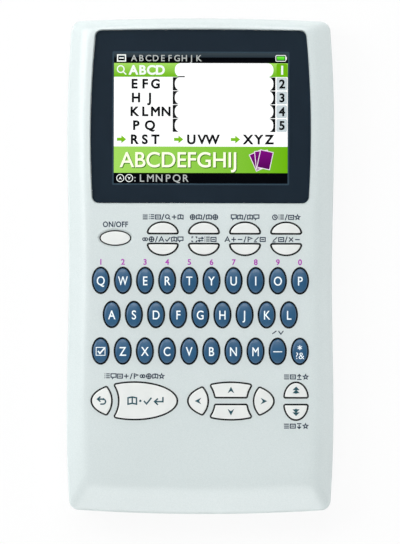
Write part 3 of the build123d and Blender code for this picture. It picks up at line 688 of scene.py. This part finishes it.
def printed(art, name, node, material):
    """Prints artwork on the upper side of a CAD node, following its curve."""
    mesh = art.mesh
    bmesh.ops.remove_doubles(mesh, verts=mesh.verts, dist=1e-4)
    for axis in (Vector((1, 0, 0)), Vector((0, 1, 0))):
        reach = [vertex.co.dot(axis) for vertex in mesh.verts]
        cut = min(reach) + CELL
        while cut < max(reach):
            everything = list(mesh.verts) + list(mesh.edges) + list(mesh.faces)
            bmesh.ops.bisect_plane(mesh, geom=everything, plane_co=axis * cut, plane_no=axis)
            cut += CELL
    bmesh.ops.scale(mesh, vec=(MM, MM, MM), verts=mesh.verts)
    data = frame["nodes"][node].data
    places = [vertex.co for vertex in data.vertices]
    surface = BVHTree.FromPolygons(places, [polygon.vertices for polygon in data.polygons])

    def ground(place):
        hit = surface.ray_cast(Vector((place.x, place.y, cad_high.z + MM)), Vector((0, 0, -1)))
        return hit[0].z

    thicken(mesh, lambda co: ground(co) + INK * MM, lambda co: ground(co) - INK_ROOT * MM)
    body = frame["nodes"][node]["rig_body"]
    finish_piece(mesh, name, body, material)


def laid(art, name, material, height, thickness=0.01):
    """Lays artwork flat at a height above the table, in millimetres."""
    mesh = art.mesh
    bmesh.ops.scale(mesh, vec=(MM, MM, MM), verts=mesh.verts)
    thicken(mesh, lambda co: (height + thickness) * MM, lambda co: height * MM)
    finish_piece(mesh, name, "casing", material)


def middle(node):
    """Centre of a CAD node seen from above, in millimetres."""
    low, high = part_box(node)
    return (low.x + high.x) / 2 / MM, (low.y + high.y) / 2 / MM


# ---------- key legends

# Sizes of the lettering and marks, in millimetres, and widths as shares of the font's
LETTER_HEIGHT = 2.52
LETTER_WIDTH = 0.84
LETTER_WIDTHS = {"W": 0.72, "M": 0.78}
LEGEND_STROKE = 0.28
ARROW_SIZE = 1.95
PAGE_ARROW = 2.1
KEY_MARK_STROKE = 0.42
LEGEND_DROP = 0.12
LETTER_WEIGHT = 0.03
DASH_HALF = 1.3
CHECK_HALF_WIDTH = 1.3
CHECK_HALF_HEIGHT = 1.15
CHECK_STROKE = 0.22
CHECK_TICK = ((-0.75, 0.1), (-0.2, -0.6), (1.15, 0.95))
STAR_RISE = 1.2
STAR_RADIUS = 0.7
STAR_STROKE = 0.24
SIGNS_DROP = 1.15
SIGNS_HEIGHT = 1.9

# Marks of two keys: the place of each from the key's middle, and its size, in millimetres
BACK_MARKS = (("back", 0.0, 2.7),)
ENTER_MARKS = (("book", -4.0, 2.7), ("dot", -1.65, 0.68), ("tick", 0.5, 2.43), ("return", 3.7, 2.7))


def letter_legend(key):
    """White lettering of a letter key."""
    art = Artwork()
    x, y = middle(key)
    y -= LEGEND_DROP
    if key == "key_check":
        wide, high = CHECK_HALF_WIDTH, CHECK_HALF_HEIGHT
        art.stroke(rectangle(x - wide, y - high, x + wide, y + high), CHECK_STROKE, True)
        art.stroke([(x + u, y + v) for u, v in CHECK_TICK], KEY_MARK_STROKE)
    elif key == "key_dash":
        art.stroke([(x - DASH_HALF, y), (x + DASH_HALF, y)], LEGEND_STROKE)
    elif key == "key_star":
        star_y = y + STAR_RISE
        for turn in (90, 150, 210):
            end = Vector((cos(radians(turn)), sin(radians(turn)))) * STAR_RADIUS
            art.stroke([(x - end.x, star_y - end.y), (x + end.x, star_y + end.y)], STAR_STROKE)
        art.text("?&", x, y - SIGNS_DROP, SIGNS_HEIGHT)
    else:
        letter = key[-1].upper()
        width = LETTER_WIDTHS.get(letter, LETTER_WIDTH)
        art.text(letter, x, y, LETTER_HEIGHT, width=width, weight=LETTER_WEIGHT)
    return art


def arrow_head(art, x, y, turn, size):
    """A notched arrowhead that points up before it is turned."""
    half, notch = size / 2, size * 0.15
    shape = [(0, half), (half, -half), (0, -notch), (-half, -half)]
    spin = Matrix.Rotation(radians(turn), 2)
    points = [spin @ Vector(point) for point in shape]
    for side in ((0, 1, 2), (0, 2, 3)):
        art.area([(x + points[i].x, y + points[i].y) for i in side])


def page_head(art, x, y, way, size):
    """Two stacked solid arrowheads on a short stem. They point up, or down where way is -1."""
    half, stack, stem = size * 0.5, size * 0.42, size * 0.17
    stem_start, stem_end = size * 0.3, size * 0.48
    for step in (0, 1):
        tip = y + way * (half - step * stack)
        foot = tip - way * half
        art.area([(x, tip), (x + half, foot), (x - half, foot)])
    art.area(rectangle(x - stem, y - way * stem_start, x + stem, y - way * stem_end))


def key_marks(art, x, y, marks):
    """A row of pictograms and dots."""
    for name, place, size in marks:
        if name == "dot":
            art.area(ring(x + place, y, size / 2, 12))
        else:
            art.glyph(name, x + place, y, size, KEY_MARK_STROKE)


def teal_legend(key, draw, *details):
    """Prints a teal mark on a white key."""
    marks = Artwork()
    draw(marks, *middle(key), *details)
    printed(marks, f"{key}_legend", key, teal_ink)


for key in BLUE_KEYS:
    printed(letter_legend(key), f"{key}_legend", key, white_ink)
for key, turn in (("up_key", 0), ("left_key", 90), ("down_key", 180), ("right_key", 270)):
    teal_legend(key, arrow_head, turn, ARROW_SIZE)
for key, way in (("page_up_key", 1), ("page_down_key", -1)):
    teal_legend(key, page_head, way, PAGE_ARROW)
teal_legend("back_key", key_marks, BACK_MARKS)
teal_legend("enter_key", key_marks, ENTER_MARKS)

# ---------- labels on the face

# Sizes of the labels, and their distances from the keys, in millimetres
LABEL_SIZE = 1.6
LABEL_PITCH = 1.86
LABEL_STROKE = 0.3
UPPER_LABEL_RISE = 0.95
LOWER_LABEL_DROP = 0.2
POWER_LABEL_RISE = 1.3
DIGIT_RISE = 1.1
CLUSTER_LABEL_RISE = 1.2
PAGE_LABEL_RISE = 1.05
PAGE_LABEL_DROP = 1.25
DASH_LABEL_RISE = 1.1
POWER_LABEL_HEIGHT = 1.52
POWER_LABEL_SPACING = 1.08
POWER_LABEL_WIDTH = 0.86
DIGIT_HEIGHT = 1.55
FACE_TEXT_WEIGHT = 0.06
# Rings of painted shade round the key holes: how far outside each hole they end and start
SHADE_RING_WIDTH = 0.13
SHADE_RING_START = 0.01

# Labels of the function keys 1 to 4, and 5 to 8
UPPER_LABELS = (
    "bars list card slash lens plus book",
    "globe book slash book globe",
    "bubble book slash book bubble",
    "clock list slash card star",
)
LOWER_LABELS = (
    "links globe slash letter tick book bubble",
    "corners swap list card",
    "letter plus minus slash flag pen card",
    "pen card slash cross minus",
)

labels = Artwork()
digits = Artwork()


def label(words, x, y):
    """A line of pictograms on the face."""
    labels.row(words.split(), x, y, LABEL_SIZE, LABEL_PITCH, LABEL_STROKE)


def above(key, rise):
    """The spot this far above the middle of a key's upper edge, in millimetres."""
    return middle(key)[0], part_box(key)[1].y / MM + rise


for number, words in enumerate(UPPER_LABELS, 1):
    label(words, *above(f"function_key_{number}", UPPER_LABEL_RISE))
between_y = (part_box("function_key_1")[0].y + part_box("function_key_5")[1].y) / 2 / MM
for number, words in enumerate(LOWER_LABELS, 5):
    label(words, middle(f"function_key_{number}")[0], between_y - LOWER_LABEL_DROP)
labels.text(
    "ON/OFF",
    *above("power_key", POWER_LABEL_RISE),
    POWER_LABEL_HEIGHT,
    spacing=POWER_LABEL_SPACING,
    width=POWER_LABEL_WIDTH,
    weight=FACE_TEXT_WEIGHT,
)
for letter, digit in zip("qwertyuiop", "1234567890"):
    digits.text(digit, *above(f"key_{letter}", DIGIT_RISE), DIGIT_HEIGHT, weight=FACE_TEXT_WEIGHT)
label("rise dip", *above("key_dash", DASH_LABEL_RISE))
cluster_x = (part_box("back_key")[0].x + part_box("enter_key")[1].x) / 2 / MM
cluster_y = above("enter_key", CLUSTER_LABEL_RISE)[1]
label("list bubble card plus slash flag links globe book star", cluster_x, cluster_y)
label("bars card upward star", *above("page_up_key", PAGE_LABEL_RISE))
page_down_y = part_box("page_down_key")[0].y / MM
label("bars card downward star", middle("page_down_key")[0], page_down_y - PAGE_LABEL_DROP)


def hole_loops():
    """Edges of the key holes in the face, each as points in order, in millimetres."""
    mesh = bmesh.new()
    mesh.from_mesh(frame["nodes"]["front_case"].data)
    bmesh.ops.remove_doubles(mesh, verts=mesh.verts, dist=1e-7)
    low_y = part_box("page_down_key")[0].y - MM
    neighbours = {}
    for edge in mesh.edges:
        ups = sorted(abs(face.normal.z) for face in edge.link_faces)
        level = all(abs(vertex.co.z - face_z) < ON_PLANE * MM for vertex in edge.verts)
        below_window = all(low_y < vertex.co.y < window_low.y - MM for vertex in edge.verts)
        rim = len(ups) == 2 and ups[0] < WALL_BELOW and ups[1] > LEVEL_ABOVE
        if level and below_window and rim:
            first, second = edge.verts
            neighbours.setdefault(first, []).append(second)
            neighbours.setdefault(second, []).append(first)
    loops = []
    while neighbours:
        start = next(iter(neighbours))
        points = []
        spot = start
        while spot in neighbours:
            points.append(spot.co.xy / MM)
            spot = next((other for other in neighbours.pop(spot) if other in neighbours), start)
        loops.append(points)
    mesh.free()
    return loops


def widened(points, reach):
    """An outline moved outwards."""
    area = sum(a.cross(b) for a, b in zip(points, points[1:] + points[:1]))
    turn = 1 if area > 0 else -1
    moved = []
    for before, spot, after in zip(points[-1:] + points[:-1], points, points[1:] + points[:1]):
        way = (after - before).normalized() * turn
        moved.append((spot.x + way.y * reach, spot.y - way.x * reach))
    return moved


# Thin black rings on the face round the key holes: painted shade that widens the dark gaps
shade_rings = Artwork()
for points in hole_loops():
    shade_rings.frame(widened(points, SHADE_RING_WIDTH), widened(points, SHADE_RING_START))
printed(shade_rings, "key_hole_shade_rings", "front_case", gap_shade)
printed(labels, "face_labels", "front_case", label_ink)
printed(digits, "face_digits", "front_case", digit_ink)

# ---------- window border and display

# The printed border below the clear plate: its distance from the plate's edge and underside,
# and the width of the paler rim round the lit area, in millimetres
PRINT_INSET = 0.12
PRINT_GAP = 0.07
PRINT_THICKNESS = 0.02
RIM_WIDTH = 0.42
RIM_CORNER = 0.3
VIEW_CORNER = 0.05

view_left = -VIEW_WIDTH / 2
view_right = VIEW_WIDTH / 2
view_top = window_high.y / MM - VIEW_TOP_BORDER
view_bottom = view_top - VIEW_HEIGHT


def window_outline():
    """Plan of the clear plate, a little inside its edge."""
    data = frame["nodes"]["display_window"].data
    corners = [v.co.xy / MM for v in data.vertices if v.co.z < window_low.z + ON_PLANE * MM]
    centre = (window_low.xy + window_high.xy) / 2 / MM
    hull = [corners[i] for i in convex_hull_2d(corners)]
    return [tuple(corner - (corner - centre).normalized() * PRINT_INSET) for corner in hull]


def opening(margin, radius):
    """The lit area with a margin round it."""
    low = (view_left - margin, view_bottom - margin)
    high = (view_right + margin, view_top + margin)
    return rounded(*low, *high, radius)


border = Artwork()
print_height = window_low.z / MM - PRINT_GAP
border.frame(window_outline(), opening(RIM_WIDTH, RIM_CORNER))
laid(border, "window_border", window_ink, print_height, PRINT_THICKNESS)

rim = Artwork()
rim.frame(opening(RIM_WIDTH, RIM_CORNER), opening(0.0, VIEW_CORNER))
laid(rim, "window_rim", rim_ink, print_height, PRINT_THICKNESS)

# Colours of the picture on the display
SCREEN_WHITE = seen(255, 255, 255)
SCREEN_INK = seen(14, 16, 18)
SCREEN_BLACK = seen(1, 2, 5)
SLATE_PALE = seen(58, 68, 74)
SLATE = seen(36, 46, 54)
GREY_WORDS = seen(176, 180, 178)
LEAF_PALE = seen(160, 213, 94)
LEAF = seen(134, 192, 40)
LEAF_DEEP = seen(106, 176, 12)
LEAF_SHADE = seen(62, 112, 20)
TAB_GREY = seen(194, 204, 208)
PLUM = seen(122, 10, 122)
PLUM_DEEP = seen(78, 4, 80)
PLUM_EDGE = seen(236, 220, 236)
CREAM = seen(250, 252, 226)
MARK_WHITE = seen(240, 244, 240)
CHARGE_DEEP = seen(52, 190, 24)
CHARGE_PALE = seen(120, 236, 70)

# Layout of the picture, in millimetres: heights, and places from the left edge of the lit area
STATUS_HEIGHT = 2.9
STATUS_SHEEN = 1.25
ROW_HEIGHT = 4.04
LINK_HEIGHT = 4.2
BANNER_HEIGHT = 7.7
ROW_GAP = 0.1
BRACKET_START = 17.2
BRACKET_END = 47.2
BRACKET_STROKE = 0.6
FIELD_RADIUS = 1.75
TAB_START = 47.5
TAB_MARGIN = 0.15
TAB_CORNER = 0.5
TAB_DIGIT_HEIGHT = 2.4
TAB_DIGIT_WEIGHT = 0.12
WORD_START = 4.4
WORD_HEIGHT = 2.55
WORD_WEIGHT = 0.14
LINK_WORD_START = 3.5
LINK_WORD_PITCH = 3.1
GREY_WEIGHT = 0.03
MARK_X = 2.2
CURSOR_START = 18.8
CURSOR_END = 20.7
CURSOR_DROP = 0.1
CURSOR_RISE = 0.25

# Tiers of the picture, in millimetres above the glass
TIER_START = 0.005
TIER_STEP = 0.012

# Words of the picture, each with the pitch of its letters or the place of its arrow
ROW_WORDS = (("ABCD", 2.6), ("EFG", 3.1), ("HJ", 4.1), ("KLMN", 3.1), ("PQ", 4.1))
LINK_WORDS = (("RST", 0.9), ("UVW", 17.6), ("XYZ", 34.2))
TITLE = "ABCDEFGHIJ"
TITLE_X = 19.0
TITLE_HEIGHT = 4.3
TITLE_WIDTH = 0.97
TITLE_WEIGHT = 0.06
TITLE_SHADOW_WEIGHT = 0.12
TITLE_SHADOW = 0.2
CARD_X = 43.6
CARD_DROP = 2.9
CARD_TURNS = (24, 6, -12)
CARD_HALF_WIDTH = 2.0
CARD_FOOT = 0.3
CARD_HEAD = 5.7
CARD_SHADE = 3
CARD_EDGE = 0.22
CARD_LIFT = 0.006
CARD_THICKNESS = 0.005

status_low = view_top - STATUS_HEIGHT
first_row = status_low - ROW_HEIGHT
banner_top = status_low - len(ROW_WORDS) * ROW_HEIGHT - LINK_HEIGHT
banner_low = banner_top - BANNER_HEIGHT


def box_outline(left, low_y, right, high_y):
    """A rectangle of the display, its sides counted from the left edge of the lit area."""
    return rectangle(view_left + left, low_y, view_left + right, high_y)


def tier(number):
    """Height of a tier of the picture above the glass, in millimetres."""
    return glass_top + TIER_START + TIER_STEP * number


def show(art, name, number, low_colour, high_colour=None, low_y=0.0, high_y=1.0):
    """Shows artwork on the display, shaded from one colour to another between two heights."""
    colours = (low_colour, high_colour or low_colour)
    finish = lit(f"lit_{name}", *colours, start=low_y * MM, end=high_y * MM)
    laid(art, f"screen_{name}", finish, tier(number))


def spell(art, letters, start, pitch, y, height, weight):
    """Letters at even places, counted from the left edge of the lit area."""
    for number, letter in enumerate(letters):
        art.text(letter, view_left + start + pitch * (number + 0.5), y, height, weight=weight)


def patch(low_y, high_y, left=0.0, right=VIEW_WIDTH):
    """Artwork that holds one rectangle."""
    art = Artwork()
    art.area(box_outline(left, low_y, right, high_y))
    return art


def draw_bars():
    """The grounds of the display: white paper, black bars, the picked row and the banner."""
    sheen = view_top - STATUS_SHEEN
    show(patch(view_bottom, view_top), "paper", 0, SCREEN_WHITE)
    show(patch(status_low, sheen), "status_bar", 1, SCREEN_BLACK)
    show(patch(sheen, view_top), "status_sheen", 1, SLATE, SLATE_PALE, sheen, view_top)
    show(patch(view_bottom, banner_low), "hint_bar", 1, SCREEN_BLACK)
    picked = patch(first_row, status_low)
    show(picked, "picked_row", 1, LEAF_DEEP, LEAF_PALE, first_row, status_low)
    shade = lit("lit_banner", LEAF_DEEP, LEAF_PALE, "X", -view_left * MM, view_left * MM)
    laid(patch(banner_low, banner_top), "screen_banner", shade, tier(1))


def draw_rows():
    """A list of rows: a word, a field with round ends between two brackets, and a tab."""
    brackets = Artwork()
    fields = Artwork()
    tabs = Artwork()
    picked_tab = Artwork()
    for row, (letters, pitch) in enumerate(ROW_WORDS):
        high_y = status_low - row * ROW_HEIGHT
        low_y = high_y - ROW_HEIGHT
        mid_y = high_y - ROW_HEIGHT / 2
        words = pale_words if row == 0 else dark_words
        spell(words, letters, WORD_START, pitch, mid_y, WORD_HEIGHT, WORD_WEIGHT)
        tab_x = view_left + (TAB_START + VIEW_WIDTH) / 2
        words.text(str(row + 1), tab_x, mid_y, TAB_DIGIT_HEIGHT, weight=TAB_DIGIT_WEIGHT)
        if row:
            low_edge, high_edge = low_y + ROW_GAP, high_y - ROW_GAP
            brackets.area(box_outline(BRACKET_START, low_edge, BRACKET_END, high_edge))
        field_left = view_left + BRACKET_START + BRACKET_STROKE
        field_right = view_left + BRACKET_END - BRACKET_STROKE
        fields.area(rounded(field_left, low_y, field_right, high_y, FIELD_RADIUS))
        tab_left = view_left + TAB_START
        tab_right = view_right - TAB_MARGIN
        tab = rounded(tab_left, low_y + TAB_MARGIN, tab_right, high_y - TAB_MARGIN, TAB_CORNER)
        (tabs if row else picked_tab).area(tab)
    show(brackets, "brackets", 2, SCREEN_INK)
    show(tabs, "tabs", 2, TAB_GREY)
    show(picked_tab, "picked_tab", 2, LEAF_DEEP)
    show(fields, "fields", 3, SCREEN_WHITE)
    lens_y = first_row + ROW_HEIGHT / 2
    pale_words.glyph("lens", view_left + MARK_X, lens_y, size=2.9, width=0.34)
    cursor_low, cursor_high = first_row - CURSOR_DROP, first_row + CURSOR_RISE
    dark_words.area(box_outline(CURSOR_START, cursor_low, CURSOR_END, cursor_high))


def block_arrow(x, y):
    """A short fat arrow that points right."""
    half, barb, neck, tip = 0.45, 1.15, 1.3, 2.7
    return [
        (x, y + half),
        (x + neck, y + half),
        (x + neck, y + barb),
        (x + tip, y),
        (x + neck, y - barb),
        (x + neck, y - half),
        (x, y - half),
    ]


def draw_links():
    """Three words, each after an arrow."""
    arrows = Artwork()
    y = banner_top + LINK_HEIGHT / 2
    for letters, start in LINK_WORDS:
        arrows.area(block_arrow(view_left + start, y))
        start += LINK_WORD_START
        spell(dark_words, letters, start, LINK_WORD_PITCH, y, WORD_HEIGHT, WORD_WEIGHT)
    show(arrows, "arrows", 2, LEAF_DEEP, LEAF, y - 1, y + 1)


def draw_status():
    """The status bar: a card mark, a grey word and a battery mark."""
    y = status_low + STATUS_HEIGHT / 2
    pale_words.glyph("card", view_left + MARK_X, y, size=2.5, width=0.36)
    spell(grey_words, "ABCDEFGHJK", 4.8, pitch=2.1, y=y, height=1.75, weight=GREY_WEIGHT)
    left, right, half, cap_half, charge_half, inset = 47.3, 50.2, 0.85, 0.4, 0.5, 0.35
    can = rounded(view_left + left, y - half, view_left + right, y + half, radius=0.3)
    pale_words.stroke(can, width=0.2, closed=True)
    pale_words.area(box_outline(right, y - cap_half, right + 0.3, y + cap_half))
    low_y, high_y = y - charge_half, y + charge_half
    charge = patch(low_y, high_y, left + inset, right - inset)
    show(charge, "charge", 3, CHARGE_DEEP, CHARGE_PALE, low_y, high_y)


def draw_hint():
    """The hint bar: two round arrow marks and a grey word."""
    y = (view_bottom + banner_low) / 2
    for place, turn in ((1.9, 0), (4.5, 180)):
        x = view_left + place
        pale_words.stroke(ring(x, y, radius=1.05), width=0.22, closed=True)
        arrow_head(pale_words, x, y, turn, size=1.0)
    spell(grey_words, ":", 5.7, pitch=1.0, y=y, height=1.9, weight=GREY_WEIGHT)
    spell(grey_words, "LMNPQR", 6.9, pitch=2.55, y=y, height=2.05, weight=GREY_WEIGHT)


def draw_title():
    """The banner's word, with a shadow under it."""
    x = view_left + TITLE_X
    y = (banner_low + banner_top) / 2
    form = {"cap_height": TITLE_HEIGHT, "width": TITLE_WIDTH}
    shadow = Artwork()
    shadow.text(TITLE, x + TITLE_SHADOW, y - TITLE_SHADOW, weight=TITLE_SHADOW_WEIGHT, **form)
    show(shadow, "title_shadow", 2, LEAF_SHADE)
    title = Artwork()
    title.text(TITLE, x, y, weight=TITLE_WEIGHT, **form)
    show(title, "title", 3, CREAM)


def draw_cards():
    """A fan of plum-coloured cards at the right of the banner."""
    y = (banner_low + banner_top) / 2
    base = Vector((view_left + CARD_X, y - CARD_DROP))
    layers = (
        ("edge", 0.0, 0.0, (PLUM_EDGE, PLUM_EDGE)),
        ("face", CARD_EDGE, CARD_LIFT, (PLUM_DEEP, PLUM)),
    )
    shading = {"start": (y - CARD_SHADE) * MM, "end": (y + CARD_SHADE) * MM}
    for number, turn in enumerate(CARD_TURNS):
        spin = Matrix.Rotation(radians(turn), 2)
        for layer, inset, lift, colours in layers:
            half = CARD_HALF_WIDTH - inset
            corners = rectangle(-half, CARD_FOOT + inset, half, CARD_HEAD - inset)
            card = Artwork()
            card.area([tuple(base + spin @ Vector(corner)) for corner in corners])
            name = f"card_{layer}_{number}"
            finish = lit(f"lit_{name}", *colours, **shading)
            laid(card, f"screen_{name}", finish, tier(2 + number) + lift, CARD_THICKNESS)


dark_words = Artwork()
pale_words = Artwork()
grey_words = Artwork()
draw_bars()
draw_rows()
draw_links()
draw_status()
draw_hint()
draw_title()
draw_cards()
show(dark_words, "dark_words", 4, SCREEN_INK)
show(pale_words, "pale_words", 4, MARK_WHITE)
show(grey_words, "grey_words", 4, GREY_WORDS)

# ---------- stage

# Sizes and places in metres, the roll in radians, and the lens and its sensor in millimetres.
# FLOOR_SHARE is how much of what the camera sees of the floor is plain white.
FLOOR_SIZE = 6.0
FLOOR_DROP = 0.0001
FLOOR_WHITE = (0.86, 0.87, 0.87, 1)
FLOOR_ROUGHNESS = 0.9
FLOOR_SHARE = 0.9
VIEW_MIDDLE_X = -0.00012
VIEW_MIDDLE_Y = -0.00168
VIEW_ROLL = 0.0024
FRAME_HEIGHT = 0.1588
LENS = 400.0
SENSOR = 36.0
CLIP_END = 20.0

# Brightness of the surroundings by the sine of the height above the horizon
SKY = ((0.0, 2.0), (0.25, 1.8), (0.4, 0.15), (1.0, 0.05))
SKY_GLOSS_SHARE = 0.5

# Soft boxes: the way that each stands from the part, round it and up, in degrees, and its power
LAMPS = {
    "key_lamp": (-115, 48, 4.2),
    "rear_lamp": (180, 55, 3.1),
    "front_lamp": (0, 45, 2.1),
    "right_lamp": (90, 25, 0.4),
}
LAMP_DISTANCE = 0.9
LAMP_SIZE = 0.5


def white_backdrop():
    """Matte white that shows nearly pure white to the camera and in gloss, with faint shadows."""
    material, tree = empty_material("floor_white")
    matte = tree.nodes["Principled BSDF"]
    matte.inputs["Base Color"].default_value = FLOOR_WHITE
    matte.inputs["Roughness"].default_value = FLOOR_ROUGHNESS
    glow = add_node(tree, "ShaderNodeEmission")
    rays = add_node(tree, "ShaderNodeLightPath").outputs
    shown = calculate(tree, "MAXIMUM", rays["Is Camera Ray"], rays["Is Glossy Ray"])
    shown = calculate(tree, "MAXIMUM", shown, rays["Is Transmission Ray"])
    share = calculate(tree, "MULTIPLY", shown, FLOOR_SHARE)
    mix_shaders(tree, share, matte, glow, "Material Output")
    return material


def make_floor():
    """A plain pale disc under the part."""
    mesh = bmesh.new()
    bmesh.ops.create_circle(mesh, cap_ends=True, segments=64, radius=FLOOR_SIZE / 2)
    data = bpy.data.meshes.new("floor")
    mesh.to_mesh(data)
    mesh.free()
    data.materials.append(white_backdrop())
    floor = bpy.data.objects.new("floor", data)
    floor.location.z = cad_low.z - FLOOR_DROP
    bpy.context.scene.collection.objects.link(floor)


def make_lamp(name, azimuth, elevation, power):
    """A square soft box that faces the part."""
    data = bpy.data.lights.new(name, "AREA")
    data.size = LAMP_SIZE
    data.energy = power
    holder = bpy.data.objects.new(name, data)
    turn, rise = radians(azimuth), radians(elevation)
    way = Vector((sin(turn) * cos(rise), -cos(turn) * cos(rise), sin(rise)))
    holder.location = way * LAMP_DISTANCE
    holder.rotation_euler = way.to_track_quat("Z", "Y").to_euler()
    bpy.context.scene.collection.objects.link(holder)


def make_world():
    """Surroundings like a light tent: bright at the horizon, and darker overhead.

    Gloss mirrors them at a share of their strength, and the camera sees plain white.
    """
    world = bpy.data.worlds.new("studio")
    bpy.context.scene.world = world
    world.use_nodes = True
    tree = world.node_tree
    way = add_node(tree, "ShaderNodeTexCoord").outputs["Generated"]
    height = add_node(tree, "ShaderNodeSeparateXYZ", {"Vector": way}).outputs["Z"]
    ramp = colour_ramp(tree, height, [(place, (level,) * 3) for place, level in SKY])
    rays = add_node(tree, "ShaderNodeLightPath").outputs
    strength = calculate(tree, "MULTIPLY_ADD", rays["Is Glossy Ray"], SKY_GLOSS_SHARE - 1, 1.0)
    tent = tree.nodes["Background"]
    feed(tree, tent.inputs["Color"], ramp.outputs["Color"])
    feed(tree, tent.inputs["Strength"], strength)
    white = add_node(tree, "ShaderNodeBackground", {"Color": (1, 1, 1, 1)})
    mix_shaders(tree, rays["Is Camera Ray"], tent, white, "World Output")


def make_camera():
    """Straight above the face, with a long lens."""
    data = bpy.data.cameras.new("camera")
    data.lens = LENS
    data.sensor_width = SENSOR
    data.clip_end = CLIP_END
    camera = bpy.data.objects.new("camera", data)
    distance = FRAME_HEIGHT / SENSOR * LENS
    camera.location = (VIEW_MIDDLE_X, VIEW_MIDDLE_Y, face_z + distance)
    camera.rotation_euler.z = VIEW_ROLL
    bpy.context.scene.collection.objects.link(camera)
    bpy.context.scene.camera = camera


make_floor()
make_world()
for name, (azimuth, elevation, power) in LAMPS.items():
    make_lamp(name, azimuth, elevation, power)
make_camera()
bpy.context.scene.view_settings.view_transform = "Standard"
